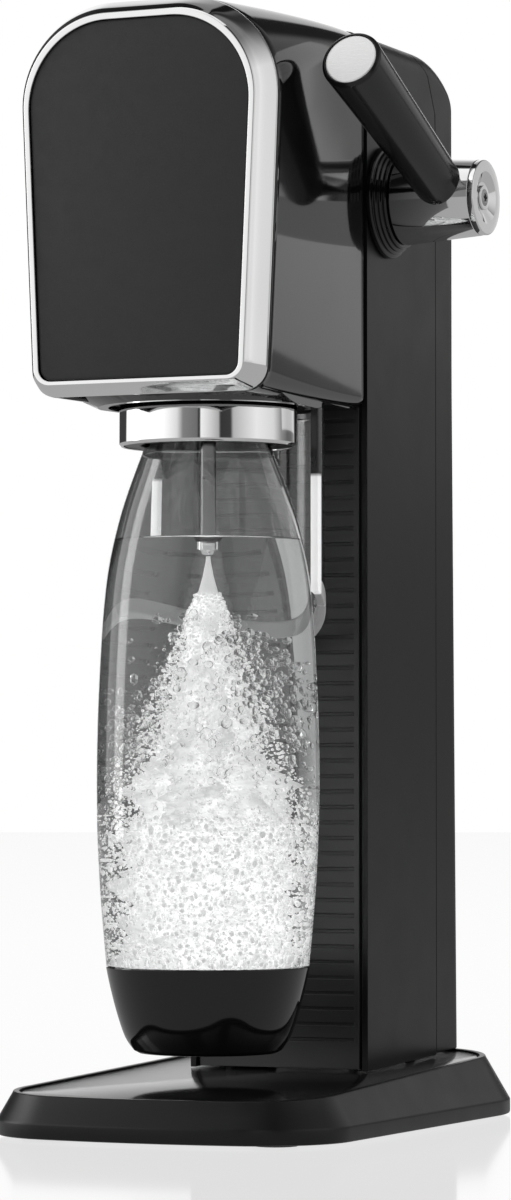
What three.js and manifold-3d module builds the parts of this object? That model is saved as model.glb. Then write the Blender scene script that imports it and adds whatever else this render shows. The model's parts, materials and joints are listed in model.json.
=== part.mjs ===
// Counter-top soda carbonator: a wedge-shaped base, an upright column that holds the gas cylinder, and a
// head that carries the tilting bottle holder and the side lever. Millimetres, +Z up, +X to the right of
// somebody who faces the front, which looks towards -Y. The origin is on the resting plane under the
// middle of the base.
import * as THREE from "three";
import { mergeVertices } from "three/addons/utils/BufferGeometryUtils.js";
import Module from "manifold-3d";

const wasm = await Module();
wasm.setup();

// ---------------------------------------------------------------- driving dimensions
const GAP = 0.3; // clearance kept between pieces that touch

const BASE_WIDTH = 144;
const BASE_DEPTH = 250;
const BASE_LIFT = 1; // height of the underside above the resting plane
const BASE_BAND_TOP = 6.8; // top of the upright band round the foot of the base
const BASE_FRONT_CORNER = 38;
const BASE_REAR_CORNER = 55;
const BASE_FRONT_BOW = THREE.MathUtils.degToRad(9.3); // slope of the bowed front where it meets a corner
const BASE_FLANK_LEAN = 0.55; // inward run of the flank for each millimetre of rise
const BASE_RIM_WIDTH = 2.6;
const BASE_WALL = 2.6;
const DECK_HEIGHT = 20.6; // height of the deck above the origin
const DECK_SLOPE = 0.037; // rise of the deck for each millimetre towards the rear
const DECK_THICKNESS = 2.4;
const RIM_STEP = 0.8; // how far the rim stands above the deck

const COLUMN_HALF_WIDTH = 38.6;
const COLUMN_FRONT = 11.1;
const COLUMN_SEAM = 83.2; // where the side walls end and the rear cover starts
const COLUMN_REAR = 111;
const COLUMN_REAR_CORNER = 12;
const COLUMN_LEAN_TOP = 300; // below this height the rear wall leans out
const COLUMN_REAR_LEAN = 2.4; // how far the rear wall leans out at the foot
const COLUMN_CORNER_LEAN = 3; // how much tighter the rear corners are at the foot
const SHELL_WALL = 2.4;
const TOTAL_HEIGHT = 435;
const TOP_SHOULDER = 10; // radius of the long edges along the top
const REAR_TOP_DEPTH = 38; // the rounded rear top runs this far forward
const REAR_TOP_DROP = 28; // and this far down
const PANEL_HALF_WIDTH = 35;
const PANEL_TOP = 286;
const GROOVE_PITCH = 6.15;
const GROOVE_COUNT = 41;
const GROOVE_HEIGHT = 1.1;

const HEAD_FRONT = -118.6; // plane of the faceplate
const BEZEL_DEPTH = 9.7;
const HEAD_REAR = 9;
const HEAD_BOTTOM = 281.6;
const HEAD_TOP_FRONT = 431.2;
const PLATE_TOP = 423;
const PLATE_BOTTOM = 287;
const PLATE_HALF_TOP = 47.2; // half-width at the height of PLATE_TOP, before the corners are rounded
const PLATE_HALF_BOTTOM = 41.2;
const BEZEL_HALF_TOP = 54.8;
const BEZEL_HALF_BOTTOM = 48.2;
const UNDERSIDE_INSET = 3.2; // how far the opening in the underside lies inside the head's outline
const SKIRT_INNER = 38.4;
const SKIRT_BOTTOM = 280;

const BOTTLE_Y = -56; // axis of the bottle and its holder
const BOTTLE_FOOT = 31;
const BOTTLE_CUP_TOP = 64.4;
const BOTTLE_MOUTH = 292;
const BOTTLE_WALL = 1.2;
const NECK_RADIUS = 19;
const BOTTLE_SIDES = 28;
const RING_RADIUS = 34.6;
const RING_BOTTOM = 265;
const RING_TOP = 281;
const HOLDER_PIVOT_Y = -80;
const HOLDER_PIVOT_Z = 293;
const PIVOT_PIN_RADIUS = 2.6;
const NOZZLE_TIP_Z = 221;

const LEVER_Y = 31.4;
const LEVER_Z = 368;
const LEVER_ARM_X = 66;
const LEVER_ARM_LENGTH = 110; // from the hub's axis to the end of the arm
const LEVER_ARM_RISE = THREE.MathUtils.degToRad(22.5);
const ARM_END_RADIUS = 12;
const ARM_ROOT_RADIUS = 9.3;
const HUB_START = 46.4;
const HUB_TIP = 81.6;
const HUB_ROOT_RADIUS = 17.5;
const HUB_TIP_RADIUS = 15;
const SHAFT_RADIUS = 5;

const CYLINDER_Y = 62;
const CYLINDER_RADIUS = 30;
const CYLINDER_FOOT = 40;
const CYLINDER_SHOULDER = 290;
const CYLINDER_NECK_TOP = 328;
const TRAY_BOTTOM = 322; // shelf that the valve block stands on
const TRAY_TOP = 325;
const CHASSIS_X = 31; // inner faces of the two chassis plates
const CHASSIS_THICKNESS = 3;
const ROCKER_Y = 16;
const ROCKER_Z = 358;
const LOCK_Z = 335; // pivot of the cylinder's lock handle

// ---------------------------------------------------------------- materials
function finish(color, roughness, metalness, opacity = 1) {
  return new THREE.MeshStandardMaterial({
    color,
    roughness,
    metalness,
    opacity,
    transparent: opacity < 1,
  });
}
const FINISH = {
  glossBlack: () => finish(0x0b0b0c, 0.08, 0),
  satinBlack: () => finish(0x161617, 0.38, 0),
  charcoal: () => finish(0x242425, 0.55, 0),
  chrome: () => finish(0xd9dadb, 0.06, 1),
  brushed: () => finish(0xc2c3c4, 0.3, 1),
  rubber: () => finish(0x101010, 0.85, 0),
  clear: () => finish(0xeef2f3, 0.03, 0, 0.3),
  greyPlastic: () => finish(0x6e7072, 0.5, 0),
  steel: () => finish(0x9a9c9f, 0.35, 1),
  brass: () => finish(0xb08d4a, 0.3, 1),
  cylinderPaint: () => finish(0x8f9499, 0.35, 0.2),
};

// ---------------------------------------------------------------- solid helpers
const root = new THREE.Group();

// A closed geometry as a manifold-3d solid, without the slivers that poles and seams leave.
function solid(geometry) {
  const source = geometry.clone();
  source.deleteAttribute("normal");
  source.deleteAttribute("uv");
  const merged = mergeVertices(source, 1e-4);
  const index = merged.index.array;
  const kept = [];
  for (let i = 0; i < index.length; i += 3) {
    const [a, b, c] = [index[i], index[i + 1], index[i + 2]];
    if (a !== b && b !== c && a !== c) kept.push(a, b, c);
  }
  const vertProperties = Float32Array.from(merged.attributes.position.array);
  const triVerts = Uint32Array.from(kept);
  return new wasm.Manifold(new wasm.Mesh({ numProp: 3, vertProperties, triVerts }));
}

function geometryOf(body) {
  const mesh = body.getMesh();
  const geometry = new THREE.BufferGeometry();
  geometry.setAttribute("position", new THREE.BufferAttribute(mesh.vertProperties, 3));
  geometry.setIndex(new THREE.BufferAttribute(mesh.triVerts, 1));
  geometry.computeVertexNormals();
  return geometry;
}

function add(name, body, material) {
  const mesh = new THREE.Mesh(geometryOf(body), material());
  mesh.name = name;
  root.add(mesh);
  return mesh;
}

// A solid of revolution about the upright line through (x, y). Its profile lists [radius, z].
function turned(profile, x, y, sides = 32) {
  const points = profile.map(([radius, z]) => new THREE.Vector2(radius, z));
  const geometry = new THREE.LatheGeometry(points, sides);
  geometry.rotateX(Math.PI / 2);
  geometry.translate(x, y, 0);
  return solid(geometry);
}

// The same about a line along X through (y, z). Its profile lists [radius, x].
function turnedAlongX(profile, y, z, sides = 32) {
  const points = profile.map(([radius, x]) => new THREE.Vector2(radius, x));
  const geometry = new THREE.LatheGeometry(points, sides);
  geometry.rotateZ(-Math.PI / 2);
  geometry.translate(0, y, z);
  return solid(geometry);
}

// A washer-like profile: a rectangle of revolution between two radii and two heights.
function ringProfile(inner, outer, low, high) {
  return [
    [inner, low],
    [outer, low],
    [outer, high],
    [inner, high],
    [inner, low],
  ];
}

function diskProfile(radius, low, high) {
  return [
    [0, low],
    [radius, low],
    [radius, high],
    [0, high],
  ];
}

function block(x0, x1, y0, y1, z0, z1) {
  const geometry = new THREE.BoxGeometry(x1 - x0, y1 - y0, z1 - z0);
  geometry.translate((x0 + x1) / 2, (y0 + y1) / 2, (z0 + z1) / 2);
  return solid(geometry);
}

// A closed body skinned over rings of equal point counts. Each ring is a list of THREE.Vector3.
function loft(rings) {
  const count = rings[0].length;
  const positions = [];
  rings.forEach((ring) => ring.forEach((p) => positions.push(p.x, p.y, p.z)));
  const index = [];
  for (let k = 0; k + 1 < rings.length; k++) {
    for (let i = 0; i < count; i++) {
      const a = k * count + i;
      const b = k * count + ((i + 1) % count);
      index.push(a, b, b + count, a, b + count, a + count);
    }
  }
  const last = (rings.length - 1) * count;
  capTriangles(rings[0]).forEach(([a, b, c]) => index.push(c, b, a));
  capTriangles(rings[rings.length - 1]).forEach(([a, b, c]) => index.push(last + a, last + b, last + c));
  const geometry = new THREE.BufferGeometry();
  geometry.setAttribute("position", new THREE.Float32BufferAttribute(positions, 3));
  geometry.setIndex(index);
  const body = solid(geometry);
  return body.volume() > 0 ? body : solid(flipped(geometry));
}

function flipped(geometry) {
  const index = Array.from(geometry.index.array);
  for (let i = 0; i < index.length; i += 3) {
    [index[i], index[i + 1]] = [index[i + 1], index[i]];
  }
  geometry.setIndex(index);
  return geometry;
}

// Triangles over a ring that is flat in either X-Y or X-Z, wound the way the ring runs.
function capTriangles(ring) {
  const spread = (axis) => Math.max(...ring.map((p) => p[axis])) - Math.min(...ring.map((p) => p[axis]));
  const second = spread("y") > spread("z") ? "y" : "z";
  const outline = ring.map((p) => new THREE.Vector2(p.x, p[second]));
  const faces = THREE.ShapeUtils.triangulateShape(outline, []);
  const clockwise = THREE.ShapeUtils.isClockWise(outline);
  return clockwise ? faces.map(([a, b, c]) => [a, c, b]) : faces;
}

function arc(cx, cy, radius, from, to, steps) {
  const points = [];
  for (let i = 0; i <= steps; i++) {
    const angle = from + ((to - from) * i) / steps;
    points.push([cx + radius * Math.cos(angle), cy + radius * Math.sin(angle)]);
  }
  return points;
}

function mirrored(half) {
  return half.concat(half.map(([x, y]) => [-x, y]).reverse());
}

function shapeOf(points) {
  return new THREE.Shape(points.map(([x, y]) => new THREE.Vector2(x, y)));
}

// An outline in X-Y extruded upwards.
function upright(points, low, high) {
  const geometry = new THREE.ExtrudeGeometry(shapeOf(points), { depth: high - low, bevelEnabled: false });
  geometry.translate(0, 0, low);
  return solid(geometry);
}

// An outline of [x, z] points extruded along Y from front to rear.
function alongY(points, front, rear) {
  const geometry = new THREE.ExtrudeGeometry(shapeOf(points), { depth: rear - front, bevelEnabled: false });
  geometry.rotateX(Math.PI / 2);
  geometry.translate(0, rear, 0);
  return solid(geometry);
}

// An outline of [y, z] points, with round holes {y, z, radius}, extruded along X.
function alongX(points, left, right, holes = []) {
  const shape = shapeOf(points);
  holes.forEach((hole) => {
    const path = new THREE.Path();
    path.absarc(hole.y, hole.z, hole.radius, 0, Math.PI * 2, true);
    shape.holes.push(path);
  });
  const geometry = new THREE.ExtrudeGeometry(shape, {
    depth: right - left,
    bevelEnabled: false,
    curveSegments: 8,
  });
  geometry.applyMatrix4(new THREE.Matrix4().set(0, 0, 1, left, 1, 0, 0, 0, 0, 1, 0, 0, 0, 0, 0, 1));
  return solid(geometry);
}

function tubeAlong(points, radius, sides, steps) {
  const curve = new THREE.CatmullRomCurve3(points.map((p) => new THREE.Vector3(...p)));
  const section = shapeOf(arc(0, 0, radius, 0, Math.PI * 2 * (1 - 1 / sides), sides - 1));
  return solid(new THREE.ExtrudeGeometry(section, { steps, extrudePath: curve, bevelEnabled: false }));
}

function less(body, ...cutters) {
  return cutters.reduce((left, cutter) => left.subtract(cutter), body);
}

function joined(...bodies) {
  return bodies.reduce((all, next) => all.add(next));
}

const deckAt = (y) => DECK_HEIGHT + DECK_SLOPE * y;

// Everything that lies above the deck plane raised by a height, as a block to cut or keep with.
function aboveDeck(raised) {
  const far = 300;
  const points = [
    [-far, deckAt(-far) + raised],
    [far, deckAt(far) + raised],
    [far, TOTAL_HEIGHT + far],
    [-far, TOTAL_HEIGHT + far],
  ];
  return alongX(points, -far, far);
}

// ---------------------------------------------------------------- base
// Where the four bolts that hold the column come up through the base, as [x, y].
const columnBolts = [
  [-27, 24],
  [27, 24],
  [-31, 74],
  [31, 74],
];

// The base's outline pulled in by an inset: a bowed front, tight front corners and wide rear corners.
function baseOutline(inset) {
  const half = BASE_WIDTH / 2;
  const cornerX = half - BASE_FRONT_CORNER;
  const bowX = cornerX + BASE_FRONT_CORNER * Math.sin(BASE_FRONT_BOW);
  const bow = Math.tan(BASE_FRONT_BOW) / (2 * bowX);
  const frontY = -BASE_DEPTH / 2;
  const cornerY = frontY + bow * bowX * bowX + BASE_FRONT_CORNER * Math.cos(BASE_FRONT_BOW);
  const points = [];
  const bowSteps = 5;
  for (let i = 0; i < bowSteps; i++) {
    const x = (bowX * (i + 0.5)) / (bowSteps + 0.5);
    const lean = Math.atan(2 * bow * x);
    points.push([x - inset * Math.sin(lean), frontY + bow * x * x + inset * Math.cos(lean)]);
  }
  const quarter = Math.PI / 2;
  points.push(...arc(cornerX, cornerY, BASE_FRONT_CORNER - inset, BASE_FRONT_BOW - quarter, 0, 7));
  const rearX = half - BASE_REAR_CORNER;
  const rearY = BASE_DEPTH / 2 - BASE_REAR_CORNER;
  points.push(...arc(rearX, rearY, BASE_REAR_CORNER - inset, 0, quarter, 9));
  return mirrored(points);
}

function baseRing(inset, heightAt) {
  return baseOutline(inset).map(([x, y]) => new THREE.Vector3(x, y, heightAt(y)));
}

const flankInset = (y) => BASE_FLANK_LEAN * (deckAt(y) + RIM_STEP - BASE_BAND_TOP);

// A ring at the rim's height, whose inset follows the wedge: more at the tall rear than at the front.
function rimRing(extraInset, raised) {
  const outer = baseOutline(0);
  const inner = baseOutline(1);
  return outer.map(([x, y], i) => {
    const inset = flankInset(y) + extraInset;
    const px = x + (inner[i][0] - x) * inset;
    const py = y + (inner[i][1] - y) * inset;
    return new THREE.Vector3(px, py, deckAt(py) + raised);
  });
}

function baseShell() {
  const outer = loft([
    baseRing(1, () => BASE_LIFT),
    baseRing(0, () => BASE_LIFT + 1),
    baseRing(0, () => BASE_BAND_TOP),
    rimRing(0, RIM_STEP - 0.4),
    rimRing(0.5, RIM_STEP),
  ]);
  const recess = loft([rimRing(BASE_RIM_WIDTH, -DECK_THICKNESS), rimRing(BASE_RIM_WIDTH, 40)]);
  const hollow = loft([
    baseRing(BASE_WALL, () => BASE_LIFT - 1),
    baseRing(BASE_WALL, () => BASE_BAND_TOP),
    rimRing(BASE_RIM_WIDTH + 1, -DECK_THICKNESS - BASE_WALL),
  ]);
  const bolts = columnBolts.map(([x, y]) => turned(diskProfile(2.3, 0, 60), x, y, 8));
  return less(outer, recess, hollow, ...bolts);
}

function baseDeck() {
  const plate = loft([
    rimRing(BASE_RIM_WIDTH + 0.5, GAP - DECK_THICKNESS),
    rimRing(BASE_RIM_WIDTH + 0.5, -0.3),
    rimRing(BASE_RIM_WIDTH + 0.9, 0),
  ]);
  const bolts = columnBolts.map(([x, y]) => turned(diskProfile(2.3, 0, 60), x, y, 8));
  return less(plate, ...bolts);
}

function bottomCover() {
  const outline = baseOutline(BASE_WALL + GAP);
  const holes = columnBolts.map(([x, y]) => turned(diskProfile(5.5, 0, 6), x, y, 12));
  return less(upright(outline, BASE_LIFT, BASE_LIFT + 2), ...holes);
}

const footPlaces = {
  foot_front_left: [-48, -100],
  foot_front_right: [48, -100],
  foot_rear_left: [-42, 96],
  foot_rear_right: [42, 96],
};

function foot(x, y) {
  const profile = [
    [0, 0],
    [8.5, 0],
    [9, 0.5],
    [9, BASE_LIFT - GAP],
    [0, BASE_LIFT - GAP],
  ];
  return turned(profile, x, y, 16);
}

function columnBolt(x, y) {
  const under = deckAt(y) - DECK_THICKNESS - BASE_WALL - 1;
  const profile = [
    [0, under - 3],
    [4, under - 3],
    [4, under],
    [1.9, under],
    [1.9, deckAt(y) + 12],
    [0, deckAt(y) + 12],
  ];
  return turned(profile, x, y, 12);
}

function buildBase() {
  add("base_shell", baseShell(), FINISH.satinBlack);
  add("base_deck", baseDeck(), FINISH.satinBlack);
  add("base_bottom_cover", bottomCover(), FINISH.satinBlack);
  Object.entries(footPlaces).forEach(([name, [x, y]]) => add(name, foot(x, y), FINISH.rubber));
  columnBolts.forEach(([x, y], i) => add(`column_bolt_${i + 1}`, columnBolt(x, y), FINISH.steel));
}

// ---------------------------------------------------------------- column
// A rounded four-sided outline in X-Z whose sides lean evenly from a bottom to a top half-width.
function leaningOutline(halfBottom, halfTop, bottom, top, radiusBottom, radiusTop) {
  const lean = Math.atan2(halfTop - halfBottom, top - bottom);
  const sideAt = (z) => halfBottom + (z - bottom) * Math.tan(lean);
  const centreX = (z, radius) => sideAt(z) - radius / Math.cos(lean);
  const low = bottom + radiusBottom;
  const high = top - radiusTop;
  return mirrored([
    ...arc(centreX(low, radiusBottom), low, radiusBottom, -Math.PI / 2, -lean, 5),
    ...arc(centreX(high, radiusTop), high, radiusTop, -lean, Math.PI / 2, 9),
  ]);
}

// The column's plan at a height, from the front to its rounded rear corners, pulled in by an inset.
function columnRing(z, inset) {
  const lean = Math.max(0, 1 - z / COLUMN_LEAN_TOP);
  const half = COLUMN_HALF_WIDTH - inset;
  const radius = COLUMN_REAR_CORNER - COLUMN_CORNER_LEAN * lean - inset;
  const rear = COLUMN_REAR + COLUMN_REAR_LEAN * lean - inset;
  const side = [[half, COLUMN_FRONT + inset], ...arc(half - radius, rear - radius, radius, 0, Math.PI / 2, 8)];
  return mirrored(side).map(([x, y]) => new THREE.Vector3(x, y, z));
}

// Column and rear cover share one outer body: a lofted plan, with its top edges and rear top rounded.
function columnBody(inset) {
  const tall = loft([0, COLUMN_LEAN_TOP, TOTAL_HEIGHT].map((z) => columnRing(z, inset)));
  const half = COLUMN_HALF_WIDTH - inset;
  const top = TOTAL_HEIGHT - inset;
  const shoulders = alongY(leaningOutline(half, half, 0, top, 1, TOP_SHOULDER), 0, COLUMN_REAR + 5);
  const rear = COLUMN_REAR - inset;
  const depth = REAR_TOP_DEPTH - inset;
  const drop = REAR_TOP_DROP - inset;
  const corner = arc(0, 0, 1, 0, Math.PI / 2, 9);
  const bend = corner.map(([y, z]) => [rear - depth + depth * y, top - drop + drop * z]);
  const foot = rear + COLUMN_REAR_LEAN + 1;
  const outline = [[0, 0], [foot, 0], [foot, COLUMN_LEAN_TOP], ...bend, [0, top]];
  const sideBody = alongX(outline, -half - 5, half + 5);
  return tall.intersect(shoulders).intersect(sideBody);
}

// The seam between the side walls and the rear cover: upright, then curving forward over the top.
function seamOutline(shift) {
  const seam = COLUMN_SEAM + shift;
  const radius = 26;
  const bend = arc(seam - radius, TOTAL_HEIGHT - radius - 3, radius, 0, Math.PI * 0.3, 6);
  return [[seam, 0], ...bend, [bend[bend.length - 1][0] - 10, TOTAL_HEIGHT + 8]];
}

function behindSeam(shift) {
  const far = 200;
  return alongX([...seamOutline(shift), [far, TOTAL_HEIGHT + 8], [far, 0]], -far, far);
}

function columnShell() {
  const skin = less(columnBody(0), columnBody(SHELL_WALL), behindSeam(0));
  const frontWall = block(
    -COLUMN_HALF_WIDTH + 1,
    COLUMN_HALF_WIDTH - 1,
    COLUMN_FRONT + 3,
    COLUMN_FRONT + 3 + SHELL_WALL,
    10,
    PANEL_TOP + 6,
  );
  const frontOpening = block(-PANEL_HALF_WIDTH, PANEL_HALF_WIDTH, 0, COLUMN_FRONT + 2.9, 0, PANEL_TOP + 6);
  const headOpening = block(
    SHELL_WALL - COLUMN_HALF_WIDTH,
    COLUMN_HALF_WIDTH - SHELL_WALL,
    0,
    COLUMN_FRONT + 8,
    PANEL_TOP + 6,
    TOTAL_HEIGHT - 14,
  );
  const bosses = columnBolts.map(([x, y]) => {
    const wall = Math.sign(x) * (COLUMN_HALF_WIDTH - 1);
    const low = Math.min(x, wall);
    return block(low - (x < 0 ? 0 : 4), Math.max(x, wall) + (x < 0 ? 4 : 0), y - 4, y + 4, 0, 36.4);
  });
  const boltHoles = columnBolts.map(([x, y]) => turned(diskProfile(2.2, 0, deckAt(y) + 12.4), x, y, 12));
  const pads = [];
  const padHoles = [];
  [-1, 1].forEach((side) => {
    const inner = CHASSIS_X + CHASSIS_THICKNESS + GAP;
    const span = side < 0 ? [-COLUMN_HALF_WIDTH + 1, -inner] : [inner, COLUMN_HALF_WIDTH - 1];
    chassisScrews.forEach(({ y, z }) => {
      pads.push(turnedAlongX(diskProfile(5, ...span), y, z, 16));
      padHoles.push(turnedAlongX(diskProfile(2, ...span), y, z, 12));
    });
  });
  const shaftHole = turnedAlongX(diskProfile(8.6, 30, 60), LEVER_Y, LEVER_Z, 24);
  const solids = joined(skin, frontWall, ...bosses, ...pads);
  const walls = less(solids, frontOpening, headOpening, shaftHole, ...boltHoles, ...padHoles);
  return walls.intersect(aboveDeck(GAP));
}

function frontPanel() {
  const low = deckAt(COLUMN_FRONT) + 0.8;
  const edge = PANEL_HALF_WIDTH - GAP;
  const plate = block(-edge, edge, COLUMN_FRONT + 0.6, COLUMN_FRONT + 2.6, low, PANEL_TOP);
  const firstGroove = PANEL_TOP - 6;
  const grooves = [];
  for (let i = 0; i < GROOVE_COUNT; i++) {
    const z = firstGroove - i * GROOVE_PITCH;
    grooves.push(block(-33, 33, COLUMN_FRONT, COLUMN_FRONT + 1.6, z - GROOVE_HEIGHT, z));
  }
  return less(plate, ...grooves);
}

// The cover's foot clears the rim as well as the deck, so that it slides off to the rear.
function rearCover() {
  const skin = less(columnBody(0), columnBody(SHELL_WALL)).intersect(behindSeam(GAP));
  return skin.intersect(aboveDeck(RIM_STEP + GAP));
}

function buildColumn() {
  add("column_shell", columnShell(), FINISH.satinBlack);
  add("column_front_panel", frontPanel(), FINISH.satinBlack);
  add("rear_cover", rearCover(), FINISH.satinBlack);
}

// ---------------------------------------------------------------- head
// Sections of the head from the bezel back to the column: it narrows, and its top corners tighten.
function headSection(share, inset) {
  const y = HEAD_FRONT + BEZEL_DEPTH + 1 + share * (HEAD_REAR - HEAD_FRONT - BEZEL_DEPTH - 1);
  const ease = 1 - (1 - share) ** 1.6;
  const mix = (front, rear) => front + (rear - front) * ease;
  const halfBottom = THREE.MathUtils.lerp(BEZEL_HALF_BOTTOM, COLUMN_HALF_WIDTH, share) - inset;
  const halfTop = THREE.MathUtils.lerp(BEZEL_HALF_TOP, COLUMN_HALF_WIDTH, share) - inset;
  const bottom = HEAD_BOTTOM + 2 * share * share;
  const top = THREE.MathUtils.lerp(HEAD_TOP_FRONT, TOTAL_HEIGHT - 0.6, share) - inset;
  const outline = leaningOutline(halfBottom, halfTop, bottom, top, mix(9, 5), mix(38, TOP_SHOULDER) - inset);
  return outline.map(([x, z]) => new THREE.Vector3(x, y, z));
}

function headShell() {
  const shares = [0, 0.15, 0.35, 0.65, 1];
  const outer = loft(shares.map((share) => headSection(share, 0)));
  const inner = loft(shares.map((share) => headSection(share, SHELL_WALL)));
  const through = 20;
  const frontMouth = loft([
    headSection(0, SHELL_WALL).map((p) => p.clone().setY(p.y - through)),
    headSection(0, SHELL_WALL),
  ]);
  const rearMouth = loft([
    headSection(1, SHELL_WALL),
    headSection(1, SHELL_WALL).map((p) => p.clone().setY(p.y + through)),
  ]);
  const underside = upright(headPlan(UNDERSIDE_INSET, 4, 10), HEAD_BOTTOM - 10, HEAD_BOTTOM + 20);
  return less(outer, inner, frontMouth, rearMouth, underside);
}

// The head's plan at its lower edge, pulled in by an inset at the sides, shortened in front, grown behind.
function headPlan(inset, shorter, longer) {
  const front = HEAD_FRONT + BEZEL_DEPTH + 1;
  return mirrored([
    [BEZEL_HALF_BOTTOM - inset, front + shorter],
    [COLUMN_HALF_WIDTH - inset, HEAD_REAR + longer],
  ]);
}

function bezelRing(y, spread) {
  const outline = leaningOutline(
    PLATE_HALF_BOTTOM + 1 + spread * (BEZEL_HALF_BOTTOM - PLATE_HALF_BOTTOM - 1),
    PLATE_HALF_TOP + 1 + spread * (BEZEL_HALF_TOP - PLATE_HALF_TOP - 1),
    PLATE_BOTTOM - 0.8 - spread * (PLATE_BOTTOM - HEAD_BOTTOM - 0.8),
    PLATE_TOP + 1 + spread * (HEAD_TOP_FRONT - PLATE_TOP - 1),
    5.5 + 4 * spread,
    33 + 5 * spread,
  );
  return outline.map(([x, z]) => new THREE.Vector3(x, y, z));
}

function bezel() {
  const front = HEAD_FRONT - 1;
  const rear = HEAD_FRONT + BEZEL_DEPTH;
  const outer = loft([
    bezelRing(front, 0.12),
    bezelRing(front + 0.5, 0.22),
    bezelRing(rear - 1, 1),
    bezelRing(rear + 0.7, 1),
  ]);
  const opening = loft([bezelRing(front - 5, -0.1), bezelRing(rear + 5, -0.1)]);
  return less(outer, opening);
}

function faceplate() {
  const rim = (y, inset) =>
    leaningOutline(
      PLATE_HALF_BOTTOM - inset,
      PLATE_HALF_TOP - inset,
      PLATE_BOTTOM + inset,
      PLATE_TOP - inset,
      5 - inset,
      32 - inset,
    ).map(([x, z]) => new THREE.Vector3(x, y, z));
  return loft([rim(HEAD_FRONT, 0.6), rim(HEAD_FRONT + 0.6, 0), rim(HEAD_FRONT + 2.6, 0)]);
}

// One of the two ears that carry the holder's pivot pins.
function holderCheek(side) {
  const y = HOLDER_PIVOT_Y;
  const z = HOLDER_PIVOT_Z;
  const low = HEAD_BOTTOM + 3;
  const span = side < 0 ? [-33, -30] : [30, 33];
  const top = arc(y, z, 9, 0, Math.PI, 8);
  const outline = [[y - 17, low], [y + 4, low], [y + 9, z], ...top.slice(1), [y - 17, low + 4]];
  return alongX(outline, span[0], span[1], [{ y, z, radius: PIVOT_PIN_RADIUS + GAP }]);
}

// The shallow skirt that slopes down from the underside to the front of the bottle holder.
function holderSkirt(low) {
  const profile = [
    [SKIRT_INNER, SKIRT_BOTTOM],
    [SKIRT_INNER + 4, SKIRT_BOTTOM],
    [SKIRT_INNER + 11, low - GAP],
    [SKIRT_INNER + 11, low + 1],
    [SKIRT_INNER, low + 1],
    [SKIRT_INNER, SKIRT_BOTTOM],
  ];
  const front = block(-60, 60, -200, BOTTLE_Y + 21, SKIRT_BOTTOM - 5, low + 5);
  return turned(profile, 0, BOTTLE_Y - 1, 40).intersect(front);
}

// The underside cover: a plate inside the head's lower edge, with an opening round the bottle holder.
function undersideCover() {
  const low = HEAD_BOTTOM + 1.4;
  const plan = headPlan(UNDERSIDE_INSET + GAP, 4 + GAP, -1);
  const plate = upright(plan, low, low + 2.4);
  const opening = turned(diskProfile(37.6, low - 5, low + 10), 0, BOTTLE_Y - 1, 32);
  const skirt = holderSkirt(low).intersect(upright(plan, SKIRT_BOTTOM - 5, low + 5));
  return joined(less(plate, opening), skirt, holderCheek(-1), holderCheek(1));
}

function buildHead() {
  add("head_shell", headShell(), FINISH.glossBlack);
  add("head_bezel", bezel(), FINISH.chrome);
  add("head_faceplate", faceplate(), FINISH.charcoal);
  add("head_underside_cover", undersideCover(), FINISH.glossBlack);
}

// ---------------------------------------------------------------- bottle holder
function collarRing() {
  const profile = [
    [RING_RADIUS - 1.8, RING_BOTTOM + 0.6],
    [RING_RADIUS - 1, RING_BOTTOM],
    [RING_RADIUS, RING_BOTTOM + 0.8],
    [RING_RADIUS, RING_TOP - 0.6],
    [RING_RADIUS - 0.6, RING_TOP],
    [RING_RADIUS - 1.8, RING_TOP],
    [RING_RADIUS - 1.8, RING_BOTTOM + 0.6],
  ];
  return turned(profile, 0, BOTTLE_Y, 32);
}

function collarInsert() {
  const outer = RING_RADIUS - 1.8 - GAP;
  return turned(ringProfile(26, outer, RING_BOTTOM + 0.4, RING_TOP - GAP), 0, BOTTLE_Y, 32);
}

const HOLDER_FLANGE_LOW = RING_TOP + 0.2;
const HOLDER_BORE_TOP = BOTTLE_MOUTH + 2.7;

// The block above the ring: it takes the bottle's neck, holds the seal and the nozzle, and has the pivots.
function carbonationHead() {
  const low = HOLDER_FLANGE_LOW;
  const profile = [
    [NECK_RADIUS + 1.2, low],
    [31, low],
    [31, low + 5.5],
    [25, low + 5.5],
    [25, 308],
    [3.5, 308],
    [3.5, HOLDER_BORE_TOP],
    [NECK_RADIUS + 1.2, HOLDER_BORE_TOP],
    [NECK_RADIUS + 1.2, low],
  ];
  const body = turned(profile, 0, BOTTLE_Y, 28);
  const pivot = HOLDER_PIVOT_Y;
  const ears = [-1, 1].map((side) => {
    const inner = side * (NECK_RADIUS + 2);
    const outer = side * 29.5;
    const span = [Math.min(inner, outer), Math.max(inner, outer)];
    return block(span[0], span[1], pivot - 5, pivot + 18, low + 5.8, 299);
  });
  const tongue = block(-15, 15, BOTTLE_Y + 24, BOTTLE_Y + 44, low, low + 1.4);
  const bore = turned(diskProfile(NECK_RADIUS + 1.2, low - 1, HOLDER_BORE_TOP), 0, BOTTLE_Y, 28);
  const pins = [-1, 1].map((side) => {
    const span = side < 0 ? [-30, -25.2] : [25.2, 30];
    return turnedAlongX(diskProfile(PIVOT_PIN_RADIUS + GAP, span[0], span[1]), pivot, HOLDER_PIVOT_Z, 16);
  });
  return less(joined(body, ...ears, tongue), bore, ...pins);
}

function pivotPin(side) {
  const span = side < 0 ? [-35.5, -25.6] : [25.6, 35.5];
  return turnedAlongX(diskProfile(PIVOT_PIN_RADIUS, span[0], span[1]), HOLDER_PIVOT_Y, HOLDER_PIVOT_Z, 16);
}

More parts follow.
